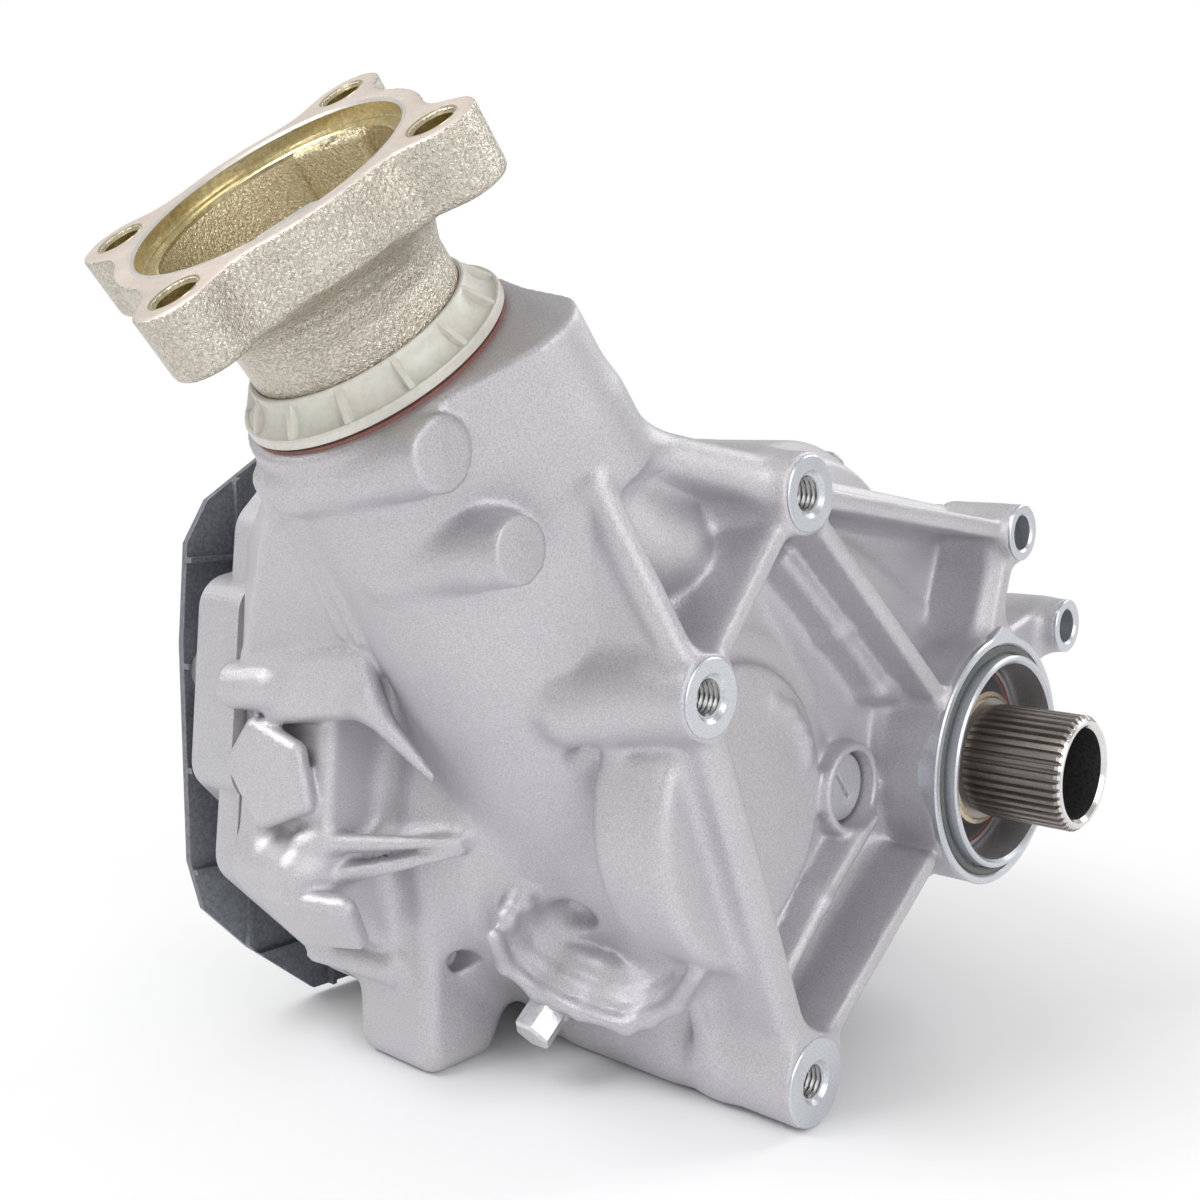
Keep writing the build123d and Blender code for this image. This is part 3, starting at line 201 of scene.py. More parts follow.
# each finish: light and dark tone of the grain, metallic, roughness, scale of the grain per metre,
# its height in metres, scale of the patches, and where they are wanted its swirl and its waxy share
finishes = dict(
    cast_case=((0.64, 0.628, 0.648), (0.47, 0.458, 0.48), 0.55, 0.41, 2100.0, 0.00026, 24.0),
    cast_cover=((0.62, 0.61, 0.63), (0.46, 0.45, 0.47), 0.55, 0.43, 2100.0, 0.00026, 24.0),
    machined=((0.7, 0.72, 0.75), (0.56, 0.58, 0.615), 0.85, 0.34, 1500.0, 0.00006, 60.0),
    # threadShade: darker tones that paint the shade inside the threaded holes
    threadShade=((0.46, 0.45, 0.45), (0.3, 0.3, 0.31), 0.9, 0.34, 1600.0, 0.00005, 60.0),
    flange_zinc=((0.76, 0.71, 0.615), (0.53, 0.485, 0.4), 0.95, 0.25, 1100.0, 0.0011, 30.0, 0.9),
    flangeInner=((0.88, 0.79, 0.58), (0.66, 0.565, 0.37), 0.9, 0.26, 1100.0, 0.0009, 30.0, 0.9),
    flangeFaced=((0.74, 0.65, 0.575), (0.66, 0.57, 0.495), 0.45, 0.42, 900.0, 0.00008, 35.0),
    flangeGold=((0.78, 0.69, 0.44), (0.6, 0.51, 0.28), 0.95, 0.24, 700.0, 0.00006, 40.0),
    flangeRim=((0.86, 0.84, 0.8), (0.78, 0.75, 0.7), 0.7, 0.3, 900.0, 0.00005, 40.0),
    zinc_bolts=((0.72, 0.71, 0.68), (0.55, 0.54, 0.52), 0.9, 0.32, 1100.0, 0.0001, 60.0),
    shield_coat=((0.235, 0.25, 0.275), (0.15, 0.162, 0.182), 0.35, 0.5, 800.0, 0.00022, 18.0),
    seal_rubber=((0.125, 0.135, 0.13), (0.075, 0.082, 0.08), 0.0, 0.45, 1200.0, 0.00008, 50.0),
    seal_case=((0.56, 0.53, 0.53), (0.44, 0.41, 0.41), 0.85, 0.32, 1100.0, 0.00006, 50.0),
    lipRed=((0.27, 0.115, 0.095), (0.2, 0.085, 0.07), 0.0, 0.5, 1100.0, 0.00008, 60.0),
    plug_steel=((0.8, 0.8, 0.83), (0.66, 0.66, 0.69), 0.8, 0.3, 1000.0, 0.00012, 60.0),
    copper=((0.58, 0.49, 0.44), (0.46, 0.38, 0.34), 0.85, 0.32, 1000.0, 0.00008, 60.0),
    bearing_steel=((0.64, 0.64, 0.65), (0.54, 0.54, 0.55), 1.0, 0.2, 1400.0, 0.00004, 40.0),
    gear_steel=((0.47, 0.46, 0.45), (0.35, 0.34, 0.33), 0.95, 0.32, 1200.0, 0.00008, 50.0),
    shaft_steel=((0.6, 0.57, 0.53), (0.46, 0.43, 0.39), 0.95, 0.28, 1300.0, 0.00006, 50.0),
    splineSteel=((0.4, 0.365, 0.335), (0.33, 0.3, 0.275), 0.9, 0.38, 1500.0, 0.00006, 90.0),
    collarSteel=((0.76, 0.68, 0.62), (0.66, 0.57, 0.5), 0.9, 0.26, 900.0, 0.00005, 60.0),
    collarEdge=((0.64, 0.52, 0.38), (0.52, 0.41, 0.28), 0.9, 0.28, 900.0, 0.00005, 60.0),
    polished=((0.8, 0.79, 0.78), (0.7, 0.69, 0.68), 1.0, 0.18, 1500.0, 0.00004, 60.0),
    # boreShade: near-black tones that paint the shade inside the shaft's bore
    boreShade=((0.16, 0.155, 0.16), (0.09, 0.088, 0.092), 0.8, 0.4, 900.0, 0.00008, 40.0),
    nylon=((0.69, 0.68, 0.615), (0.635, 0.625, 0.56), 0.0, 0.34, 500.0, 0.00005, 45.0, 0.0, 0.25),
    nut_steel=((0.72, 0.76, 0.8), (0.6, 0.64, 0.69), 0.6, 0.3, 1000.0, 0.00008, 50.0),
)
finishParts = ("light", "dark", "metallic", "roughness", "grain", "depth", "patch", "wrinkle", "waxy")
surface = dict(grainDetail=2.0, patchDetail=4.0, noiseRoughness=0.62, grainStops=(0.34, 0.62),
               patchStops=(0.32, 0.66), patchDark=(0.93, 0.93, 0.935), patchLight=(1.0, 1.0, 1.0),
               glossFrom=(0.3, 0.7), glossShare=(0.88, 1.15), bumpStrength=0.7, waxDepth=0.004)


def tones(nodes, links, factor, low, high, stops):  # two colours mixed by a noise
    ramp = nodes.new("ShaderNodeValToRGB")
    for element, stop, color in zip(ramp.color_ramp.elements, stops, (low, high)):
        element.position = stop
        element.color = (*color, 1)
    links.new(factor, ramp.inputs["Fac"])
    return ramp.outputs["Color"]


def noise(nodes, links, vector, scale, detail, distortion=0.0):  # drawn out into swirls by distortion
    field = nodes.new("ShaderNodeTexNoise")
    field.inputs["Scale"].default_value = scale
    field.inputs["Detail"].default_value = detail
    field.inputs["Roughness"].default_value = surface["noiseRoughness"]
    field.inputs["Distortion"].default_value = distortion
    links.new(vector, field.inputs["Vector"])
    return field.outputs["Fac"]


def metalFinish(name, values):
    # sandy grain for tone and height, and slow patches that shade the colour and the gloss
    finish = dict(zip(finishParts, values))
    material = bpy.data.materials.new(name)
    material.use_nodes = True
    nodes, links = material.node_tree.nodes, material.node_tree.links
    shader = nodes["Principled BSDF"]
    shader.inputs["Metallic"].default_value = finish["metallic"]
    if finish.get("waxy"):
        shader.inputs["Subsurface Weight"].default_value = finish["waxy"]
        shader.inputs["Subsurface Scale"].default_value = surface["waxDepth"]
    spot = nodes.new("ShaderNodeTexCoord").outputs["Object"]
    grain = noise(nodes, links, spot, finish["grain"], surface["grainDetail"], finish.get("wrinkle", 0.0))
    patch = noise(nodes, links, spot, finish["patch"], surface["patchDetail"])
    grainTone = tones(nodes, links, grain, finish["dark"], finish["light"], surface["grainStops"])
    patchTone = tones(nodes, links, patch, surface["patchDark"], surface["patchLight"],
                      surface["patchStops"])
    mix = nodes.new("ShaderNodeMix")
    mix.data_type = "RGBA"
    mix.blend_type = "MULTIPLY"
    mix.inputs["Factor"].default_value = 1.0
    links.new(grainTone, mix.inputs["A"])
    links.new(patchTone, mix.inputs["B"])
    links.new(mix.outputs["Result"], shader.inputs["Base Color"])
    gloss = nodes.new("ShaderNodeMapRange")
    gloss.inputs["From Min"].default_value, gloss.inputs["From Max"].default_value = surface["glossFrom"]
    gloss.inputs["To Min"].default_value = finish["roughness"] * surface["glossShare"][0]
    gloss.inputs["To Max"].default_value = finish["roughness"] * surface["glossShare"][1]
    links.new(patch, gloss.inputs["Value"])
    links.new(gloss.outputs["Result"], shader.inputs["Roughness"])
    bump = nodes.new("ShaderNodeBump")
    bump.inputs["Distance"].default_value = finish["depth"]
    bump.inputs["Strength"].default_value = surface["bumpStrength"]
    links.new(grain, bump.inputs["Height"])
    links.new(bump.outputs["Normal"], shader.inputs["Normal"])
    return material


looks = {name: metalFinish(name, values) for name, values in finishes.items()}
for node in frame["nodes"].values():
    for held in node.material_slots:
        held.material = looks[held.material.name.split(".")[0]]
print("materials made:", len(looks))

# the casting is a field of signed distances whose walls flow into each other, netted into a mesh


class Field:
    # holds the distances on a grid; every shape is worked out only on the block that it touches

    def __init__(self, low, high, step):
        self.step = step
        self.axes = [np.arange(first, last + step, step) for first, last in zip(low, high)]
        self.value = np.full([len(axis) for axis in self.axes], 30.0, np.float32)

    def block(self, low, high, margin):
        cut = [slice(*np.clip(np.searchsorted(axis, (first - margin, last + margin)), 0, len(axis)))
               for axis, first, last in zip(self.axes, low, high)]
        x, a, p = [axis[c].astype(np.float32) for axis, c in zip(self.axes, cut)]
        return tuple(cut), x[:, None, None], a[None, :, None], p[None, None, :]

    def join(self, cut, distance, blend):
        # the smaller of two distances, rounded where they are within `blend` of each other
        old = self.value[cut]
        reach = np.maximum(blend - np.abs(old - distance), 0) / blend
        self.value[cut] = np.minimum(old, distance) - reach * reach * blend / 4

    def carve(self, cut, distance, blend):
        # takes the shape away, with its rim rounded the same way
        old = self.value[cut]
        reach = np.maximum(blend - np.abs(old + distance), 0) / blend
        self.value[cut] = np.maximum(old, -distance) + reach * reach * blend / 4

    def put(self, cut, distance, blend, carve):
        (self.carve if carve else self.join)(cut, distance, blend)


def hullDistance(u, v, rounds):
    # distance to the outline stretched round circles (u, v, radius): the largest reach beyond any of its
    # tangent lines, taken all round and at the exact direction of every straight side
    angles = list(np.linspace(0, 2 * np.pi, 72, endpoint=False))
    for i, (ui, vi, ri) in enumerate(rounds):
        for j, (uj, vj, rj) in enumerate(rounds):
            gap = math.hypot(uj - ui, vj - vi)
            if i != j and gap > abs(ri - rj):
                angles.append(math.atan2(vj - vi, uj - ui) + math.acos((ri - rj) / gap))
    far = None
    for angle in angles:
        c, s = math.cos(angle), math.sin(angle)
        support = max(ui * c + vi * s + ri for ui, vi, ri in rounds)
        reach = u * c + v * s - support
        far = reach if far is None else np.maximum(far, reach)
    return far


def slabbed(flat, along, start, end, edge):
    # an outline carried from start to end, with its edges rounded by `edge`
    flat = flat + edge
    ends = np.abs(along - (start + end) / 2) - abs(end - start) / 2 + edge
    outside = np.sqrt(np.maximum(flat, 0) ** 2 + np.maximum(ends, 0) ** 2)
    return outside + np.minimum(np.maximum(flat, ends), 0) - edge


def prism(field, axis, rounds, start, end, edge=2.0, blend=5.0, carve=False):
    # an outline round circles (u, v, radius), carried along one of the three axes
    rounds = np.array(rounds, float)
    low, high = (rounds[:, :2] - rounds[:, 2:]).min(0), (rounds[:, :2] + rounds[:, 2:]).max(0)
    low, high = np.insert(low, axis, min(start, end)), np.insert(high, axis, max(start, end))
    cut, *spots = field.block(low, high, blend + 2)
    carried = spots.pop(axis)
    flat = hullDistance(*spots, rounds.tolist())
    field.put(cut, slabbed(flat, carried, start, end, edge), blend, carve)


def wall(field, *outline):  # outline across and along, carried along x
    prism(field, 0, *outline)


def sideWall(field, *outline):  # outline in x and along, carried across
    prism(field, 1, *outline)


def floorWall(field, *outline):  # outline in x and across, carried along the output shaft
    prism(field, 2, *outline)


def outlineDistance(u, v, points):
    # distance to a closed outline of straight runs: nearest run, with the sign from a count of crossings
    points = np.asarray(points, float)
    following = np.roll(points, -1, axis=0)
    nearest, inside = None, None
    for (u0, v0), (u1, v1) in zip(points, following):
        du, dv = u1 - u0, v1 - v0
        share = np.clip(((u - u0) * du + (v - v0) * dv) / (du * du + dv * dv + 1e-9), 0, 1)
        gap = (u - u0 - share * du) ** 2 + (v - v0 - share * dv) ** 2
        nearest = gap if nearest is None else np.minimum(nearest, gap)
        if v0 != v1:
            crosses = ((v0 <= v) != (v1 <= v)) & (u < u0 + (v - v0) * du / dv)
            inside = crosses if inside is None else inside ^ crosses
    return np.sqrt(nearest) * np.where(inside, -1, 1)


def turned(field, profile, center, blend=5.0, carve=False, alongOutput=False):
    # profile of (place on the axis, radius) turned about an axis along x, or about the output shaft
    profile = [tuple(map(float, q)) for q in profile]
    reach = max(r for _, r in profile)
    start, end = min(q[0] for q in profile), max(q[0] for q in profile)
    c0, c1 = center
    if alongOutput:
        low, high = (c0 - reach, c1 - reach, start), (c0 + reach, c1 + reach, end)
        cut, x, a, p = field.block(low, high, blend + 2)
        radius, axial = np.sqrt((x - c0) ** 2 + (a - c1) ** 2), p
    else:
        low, high = (start, c0 - reach, c1 - reach), (end, c0 + reach, c1 + reach)
        cut, x, a, p = field.block(low, high, blend + 2)
        radius, axial = np.sqrt((a - c0) ** 2 + (p - c1) ** 2), x
    mirrored = profile + [(u, -r) for u, r in reversed(profile)]
    field.put(cut, outlineDistance(axial, radius, mirrored), blend, carve)


def bar(field, start, end, startRadius, endRadius, blend=5.0, carve=False):
    # a tapered rod with round ends: distance to its line, less a radius that runs from one to the other
    p0, p1 = np.array(start, float), np.array(end, float)
    widest = max(startRadius, endRadius)
    cut, x, a, p = field.block(np.minimum(p0, p1) - widest, np.maximum(p0, p1) + widest, blend + 2)
    run = p1 - p0
    share = ((x - p0[0]) * run[0] + (a - p0[1]) * run[1] + (p - p0[2]) * run[2]) / (run @ run + 1e-9)
    share = np.clip(share, 0, 1)
    gap = np.sqrt((x - p0[0] - share * run[0]) ** 2 + (a - p0[1] - share * run[1]) ** 2
                  + (p - p0[2] - share * run[2]) ** 2)
    field.put(cut, gap - startRadius - share * (endRadius - startRadius), blend, carve)


def plate(field, corners, thickness, blend=4.0, carve=False):
    # a flat web between three or four corners: distance to its triangles, less half its thickness
    corners = np.asarray(corners, float)
    cut, x, a, p = field.block(corners.min(0) - thickness, corners.max(0) + thickness, blend + 2)
    spots = np.stack(np.broadcast_arrays(x, a, p), -1)
    best = None
    for i in range(1, len(corners) - 1):
        gap = triangleGap(spots, corners[0], corners[i], corners[i + 1])
        best = gap if best is None else np.minimum(best, gap)
    field.put(cut, best - thickness / 2, blend, carve)


def triangleGap(spots, c0, c1, c2):
    # over the triangle it is the height above it, elsewhere the distance to the nearest side
    normal = np.cross(c1 - c0, c2 - c0)
    normal = normal / np.linalg.norm(normal)
    height = np.abs((spots - c0) @ normal)
    over, nearest = True, None
    for start, end in ((c0, c1), (c1, c2), (c2, c0)):
        run, offset = end - start, spots - start
        over = over & (offset @ np.cross(normal, run) >= 0)
        share = np.clip((offset @ run) / (run @ run), 0, 1)[..., None]
        gap = np.linalg.norm(offset - share * run, axis=-1)
        nearest = gap if nearest is None else np.minimum(nearest, gap)
    return np.where(over, height, nearest)


def netted(field):
    # one point in every cell that the surface crosses, at the middle of its edges' crossings,
    # and one four-sided face round every grid edge that changes sign
    value, step = field.value, field.step
    solid = value < 0
    cells = np.zeros(np.array(value.shape) - 1, np.int8)
    for i in (0, 1):
        for j in (0, 1):
            for k in (0, 1):
                cells += solid[i:i + cells.shape[0], j:j + cells.shape[1], k:k + cells.shape[2]]
    crossed = (cells > 0) & (cells < 8)
    index = np.full(crossed.shape, -1, np.int64)
    where = np.argwhere(crossed)
    index[crossed] = np.arange(len(where))
    total, count = np.zeros((len(where), 3)), np.zeros(len(where))
    for axis in range(3):
        others = [n for n in range(3) if n != axis]
        for first in (0, 1):
            for second in (0, 1):
                corner = where.copy()
                corner[:, others[0]] += first
                corner[:, others[1]] += second
                far = corner.copy()
                far[:, axis] += 1
                v0, v1 = value[tuple(corner.T)], value[tuple(far.T)]
                cross = (v0 < 0) != (v1 < 0)
                share = np.where(cross, v0 / np.where(cross, v0 - v1, 1), 0)
                spot = corner.astype(float)
                spot[:, axis] += share
                total += spot * cross[:, None]
                count += cross
    points = total / count[:, None] * step + [axis[0] for axis in field.axes]
    faces = []
    for axis in range(3):
        others = [n for n in range(3) if n != axis]
        low = [slice(1, -1)] * 3
        high = [slice(1, -1)] * 3
        low[axis], high[axis] = slice(0, -1), slice(1, None)
        inner = [slice(1, -1)] * 3
        inner[axis] = slice(0, -1)
        changes = solid[tuple(low)] != solid[tuple(high)]
        spots = np.argwhere(changes)
        rising = solid[tuple(low)][changes]
        spots[:, others[0]] += 1
        spots[:, others[1]] += 1
        ring = []
        for back0, back1 in ((1, 1), (0, 1), (0, 0), (1, 0)):
            cell = spots.copy()
            cell[:, others[0]] -= back0
            cell[:, others[1]] -= back1
            ring.append(index[tuple(cell.T)])
        quads = np.stack(ring, 1)
        flip = rising if axis != 1 else ~rising
        quads[~flip] = quads[~flip][:, ::-1]
        faces.append(quads)
    return points, np.concatenate(faces)


# places of the casting, in millimetres; those of bosses are across and along

upperFront, upperRear, footFront = (-104.6, 145.6), (-32.8, 159.3), (-144.9, 7.5)
earUpper, earLower = (63.0, 57.0), (70.0, 1.0)
levelBoss, discCenter, drumCenter = (-51.5, 38.0), (-98.8, 81.0), (-95.0, 84.0)
webBack, webFace, ribTop, bossFace, parting = -37.0, -30.0, -3.0, -0.6, -168.0
outX, outA = outputAxis

casting = dict(
    step=1.4, low=(-172.0, -208.0, -106.0), high=(3.0, 116.0, 254.0),
    # rounds of the flange that the cover bolts to: across, along, radius; and its bolt holes
    coverFlange=[(*ringCenter, 90), (0, 0, 74), (20, 40, 74), (-148, 56, 36), (-62, 195, 12),
                 (-98, 190, 13), (-176, 112, 13)],
    boltSpots=[(-176, 112), (-98, 190)], boltRadius=4.1,
    # profiles about axes along x, and of the neck about the output shaft: place on the axis, radius
    barrel=[(-170, 0), (-170, 86), (-118, 83), (-100, 76), (-88, 65), (-78, 51), (-50, 51), (-50, 0)],
    hump=[(-170, 0), (-170, 74), (-90, 74), (-76, 66), (-70, 50), (-50, 44), (-50, 0)],
    inputHousing=[(-170, 0), (-170, 74), (-118, 74), (-96, 64), (-30, 52), (-22, 46.3), (-1.2, 46.3),
                  (-1.2, 0)],
    neck=[(58.04, 0), (58.04, 51), (110, 50), (150, 48), (200, 44.5), (251, 43), (251, 0)],
    drumRadius=53.6, drumCrease=dict(x=-46.0, radius=55, width=3.6, turn=(112, 205)),
    # hollow in front of the web, inside the rim walls
    recess=[(-133, 18, 7), (-102, 133, 7), (-36, 146, 7), (-22, 54, 7), (-46, 43, 7), (-58, 14, 6)],
    rimRoot=5.0, rimHalfWidth=3.4, rimEdge=2.2, ribCrest=2.6, ribRoot=4.0, ribDrop=6.0,
    threadHole=6.9, earHole=7.1, earCounterbore=11.0, spigotBore=37.5, neckBore=36.2, levelSeat=13.2)

# how the upper bosses, the ears and the foot boss stand on the casting
bossForms = [(wall, [(a, p, 12.9)], -57, bossFace, 1.5, 4.5) for a, p in (upperFront, upperRear)]
bossForms += [
    (bar, (-46, -115, 146), (-14, *upperFront), 12.8, 12.8, 5),
    (bar, (-56, -45, 160), (-24, *upperRear), 15, 12, 10),
    (wall, [(*footFront, 15.1)], -113, bossFace, 0.6, 9),
    (wall, [(*footFront, 11), (*ringCenter, 40)], -100, -50, 4, 10),
    (wall, [(*earUpper, 10.5)], -30, bossFace, 0.6, 5),
    (wall, [(*earLower, 10.5)], -30, bossFace, 0.6, 5),
    (wall, [(*earLower, 8), (26, 12, 18)], -27, -8, 3, 7),
    (wall, [(*earUpper, 6), (22, 22, 16)], -27, -8, 3, 7),
    # two lugs on the neck, with the sloping rods that lead to them
    (wall, [(-113, 241, 10.5)], -82, -37, 1.0, 3),
    (wall, [(-113.5, 208, 10)], -82, -29, 1.0, 4),
    (bar, (-88, -126, 239), (-48, -114.5, 240.5), 8.5, 10.2, 3),
    (bar, (-76, -126, 206), (-42, -114.5, 208), 5, 10, 5),
    # drain boss and breather boss
    (bar, (-85, -158, 39), (-85, -122, 39), 10, 10, 6),
    (bar, (-122, 90, 40), (-122, 99, 40), 8, 8, 6)]

# ridges that tie the upper bosses to the neck, with the sails behind them
ridgeForms = [
    (bar, (-24, -85, 206), (-7, -102, 159), 3.2, 3.2, 4),
    (plate, [(-24, -84, 206), (-8, -101, 158), (-42, -109, 150), (-48, -107, 200)], 5, 7),
    (bar, (-30, -64, 203), (-9, -34, 166), 6, 5.5, 6),
    (plate, [(-30, -64, 203), (-9, -36, 164), (-44, -40, 150), (-52, -60, 196)], 7, 9),
    (bar, (-38, -80, 182), (-26, -66, 168), 12, 6, 14)]

leftForms = [
    # gusset beside the neck: a plate with a nub, a thin double edge and a thick lower end
    (plate, [(-99, -124, 238), (-112, -127, 182), (-158, -138, 174), (-166, -110, 196)], 8, 2.5),
    (bar, (-98, -125, 241), (-101, -126, 232), 6.5, 5.5, 2),
    (plate, [(-97, -123, 238), (-108, -128, 176), (-100, -108, 176), (-88, -108, 236)], 6, 4),
    (bar, (-99, -127, 234), (-111, -130, 182), 2.3, 2.3, 1.5),
    (bar, (-94, -126, 234), (-105, -130, 180), 2.3, 2.3, 1.5),
    (plate, [(-158, -139, 172), (-111, -131, 173), (-110, -138, 159), (-150, -147, 158)], 10, 2.5),
    (bar, (-168, -146, 166), (-150, -143, 165), 8.5, 8.5, 2),
    (bar, (-110, -139, 160), (-96, -143, 132), 4.5, 1.6, 5),
    # wedge above the corner boss, the boss with its knob, and the two spikes that run from it
    (plate, [(-157, -154, 156), (-138, -156, 150), (-135, -166, 136), (-152, -174, 133),
             (-166, -164, 147)], 7, 2),
    (bar, (-166, -178, 113), (-140, -181, 118), 12, 8.5, 5),
    (plate, [(-140, -170, 111), (-140, -152, 108), (-99, -146, 104)], 5, 6),
    (bar, (-138, -174, 124), (-98, -149, 106), 4.2, 1.5, 3),
    (bar, (-140, -181, 112), (-98, -150, 102), 4.2, 1.5, 3),
    # flat pad with corners, and the little cylinder below it
    (plate, [(-166, -187, 110), (-140, -189, 113), (-119, -184, 109), (-127, -185, 90),
             (-160, -187, 82)], 7, 2),
    (bar, (-170, -184, 69), (-134, -180, 66), 6.5, 6.5, 2.5)]

# the hollow below the drum: a lip that stands out in layers, the floor inside it and a pocket
scoop = dict(
    lip=[(-88, -163, 77), (-93, -164, 60), (-86, -164, 48), (-70, -163, 42), (-55, -160, 36),
         (-47, -155, 37), (-36, -150, 43), (-22, -146, 61)],
    layers=((16, 6.0), (8, 4.5), (0, 2.8)),     # how far inward, and the radius there
    forms=[
        (sideWall, [(-80, 72, 4), (-83, 61, 4), (-77, 54, 4), (-60, 47, 4), (-42, 51, 4), (-31, 62, 3),
                    (-50, 72, 5)], -190, -151, 3, 3, True),
        (bar, (-81, -156, 67), (-76, -139, 63), 7.0, 7.0, 4, True),
        (turned, [(-122, 0), (-122, 4.4), (-108, 4.4), (-108, 0)], (-167, 58), 1.0, True)])

# feet, as rounds of depth, height and radius, and where each starts along x
feet = dict(length=40, starts=(-156, -150), rounds=(
    [(-172, floorZ + 8, 8), (-154, floorZ + 8, 8), (-142, -42, 22), (-166, -46, 14)],
    [(4, floorZ + 8, 8), (24, floorZ + 8, 8), (14, -34, 30)]))


def trim(field, direction, limit):  # cuts away all that lies further than `limit` along the direction
    x, a, p = [axis.astype(np.float32) for axis in field.axes]
    reach = x[:, None, None] * direction[0] + a[None, :, None] * direction[1]
    reach = reach + p[None, None, :] * direction[2]
    field.value = np.maximum(field.value, reach - limit)


def putForms(field, forms):  # each form is a shaper followed by its values
    for shape, *values in forms:
        shape(field, *values)


def bored(field, center, start, end, radius, blend=0.4, alongOutput=False):  # a round hole
    turned(field, [(start, 0), (start, radius), (end, radius), (end, 0)], center, blend, True, alongOutput)


def castShells(field, c):
    # the flange, the round chambers and the neck with its machined ear
    inner = [(a, p, r - 6) for a, p, r in c["coverFlange"]]
    putForms(field, [
        (wall, c["coverFlange"], parting, -156, 1.5, 1),
        (wall, inner, parting, -130, 5, 5),
        (turned, c["barrel"], ringCenter, 8),
        (turned, c["hump"], (20, 40), 9),
        (turned, c["inputHousing"], (0, 0), 6),
        (turned, c["neck"], outputAxis, 9, False, True),
        (bar, (outX - 12, outA, 58), (outX, outA, 196), 59, 44.5, 10),
        (floorWall, [(outX, outA, 42), (outX + 48, outA + 13, 16)], 202, 251, 1.0, 5),
        (floorWall, [(outX, outA, 39), (outX + 45, outA + 15, 13)], 160, 225, 4, 12),
        (bar, (outX + 38, outA + 18, 170), (outX + 30, outA + 26, 118), 14, 8, 18),
        (wall, [(*drumCenter, c["drumRadius"])], -42, -12, 5, 2)])
    # the drum's crease, as rods that follow its round
    crease = c["drumCrease"]
    turns = np.radians(np.linspace(*crease["turn"], 9))
    rim = [(crease["x"], drumCenter[0] + crease["radius"] * math.cos(t),
            drumCenter[1] + crease["radius"] * math.sin(t)) for t in turns]
    for start, end in zip(rim, rim[1:]):
        bar(field, start, end, crease["width"], crease["width"], 3, True)
    wall(field, c["recess"], webFace, 6, 1, 4, True)


def castWeb(field, c):
    # web, raised disc, rim walls and low ribs; the walls and ribs are wider at the root
    for outline in ([(*upperFront, 13), (*upperRear, 13), (0, 0, 46.3), (*footFront, 12)],
                    [(*upperRear, 10), (0, 0, 42.5), (*earUpper, 8)]):
        wall(field, outline, webBack, webFace, 2, 4)
    rims = [(upperFront, upperRear), (upperRear, earUpper), (earUpper, (30, 36)), ((-52, 2), footFront),
            (upperRear, (-11, 46)), (footFront, upperFront)]
    for start, end in rims:
        bar(field, (webFace - 1, *start), (webFace - 1, *end), c["rimRoot"], c["rimRoot"], 6)
        outline = [(*start, c["rimHalfWidth"]), (*end, c["rimHalfWidth"])]
        wall(field, outline, webFace, ribTop, c["rimEdge"], 5)
    ribs = [((-20, -35, 133), (-20, -26, 92)), ((-20, -26, 92), (-20, -20, 57)),
            ((-20, -20, 57), (-19, -7, 38)), ((-20, -52, 24), (-20, -90, 25)),
            ((-20, -90, 25), (-21, -126, 21))]
    for start, end in ribs:
        bar(field, start, end, c["ribCrest"], c["ribCrest"], 4)
        roots = [(x - c["ribDrop"], a, p) for x, a, p in (start, end)]
        bar(field, *roots, c["ribRoot"], c["ribRoot"], 6)
    wall(field, [(*discCenter, 48)], webBack, webFace + 4.6, 1.0, 0.6)
    wall(field, [(*levelBoss, 16.8)], webBack, -21.6, 2.4, 2.5)
    # the raised edge at the disc's right
    edge = [(-26.8, -62, 94), (-26.8, -58, 85), (-26.8, -57.5, 77), (-26.8, -58, 70), (-26.8, -61, 64)]
    for start, end in zip(edge, edge[1:]):
        bar(field, start, end, 2.8, 2.8, 2.5)
    wall(field, [(*footFront, 6), (*upperFront, 6)], -62, ribTop, 3, 5)


def castScoop(field, c):
    # rods follow the lip in layers, thicker the further inward they lie; the hollow is carved after them
    for start, end in zip(c["lip"], c["lip"][1:]):
        for inward, radius in c["layers"]:
            ends = [(x, a + inward, p) for x, a, p in (start, end)]
            bar(field, *ends, radius, radius, 3)
    putForms(field, c["forms"])


def castFeet(field, c):  # outlines in depth and height, carried along x
    for start, rounds in zip(c["starts"], c["rounds"]):
        outline = [(*fromStand(y, z), r) for y, z, r in rounds]
        wall(field, outline, start, start + c["length"], 6, 7)


def castHoles(field, c):
    # holes of the bosses, the spigot's bore, the neck's bore, the level plug's seat and bolt holes
    for center in (upperFront, upperRear, footFront):
        bored(field, center, -30, 3, c["threadHole"])
    for center in (earUpper, earLower):
        bored(field, center, -34, 3, c["earHole"])
        bored(field, center, -42, -30, c["earCounterbore"])
    bored(field, (0, 0), -29, 4, c["spigotBore"])
    bored(field, outputAxis, 209, 254, c["neckBore"], alongOutput=True)
    bored(field, levelBoss, -32, -18, c["levelSeat"], blend=1.6)
    for center in c["boltSpots"]:
        bored(field, center, -172, -152, c["boltRadius"])


def buildCasting(c):
    field = Field(c["low"], c["high"], c["step"])
    castShells(field, c)
    putForms(field, leftForms)
    castWeb(field, c)
    putForms(field, bossForms)
    putForms(field, ridgeForms)
    castFeet(field, feet)
    castScoop(field, scoop)
    castHoles(field, c)
    # the mating face, the parting face, the neck's top, the rear and the floor stay inside the CAD's box
    trim(field, (1, 0, 0), bossFace)
    trim(field, (-1, 0, 0), -parting)
    trim(field, (0, 0, 1), neckTop - 0.05)
    trim(field, (0, leanCos, -leanSin), 73.9)
    trim(field, (0, -leanSin, -leanCos), -floorZ - 0.1)
    return netted(field)


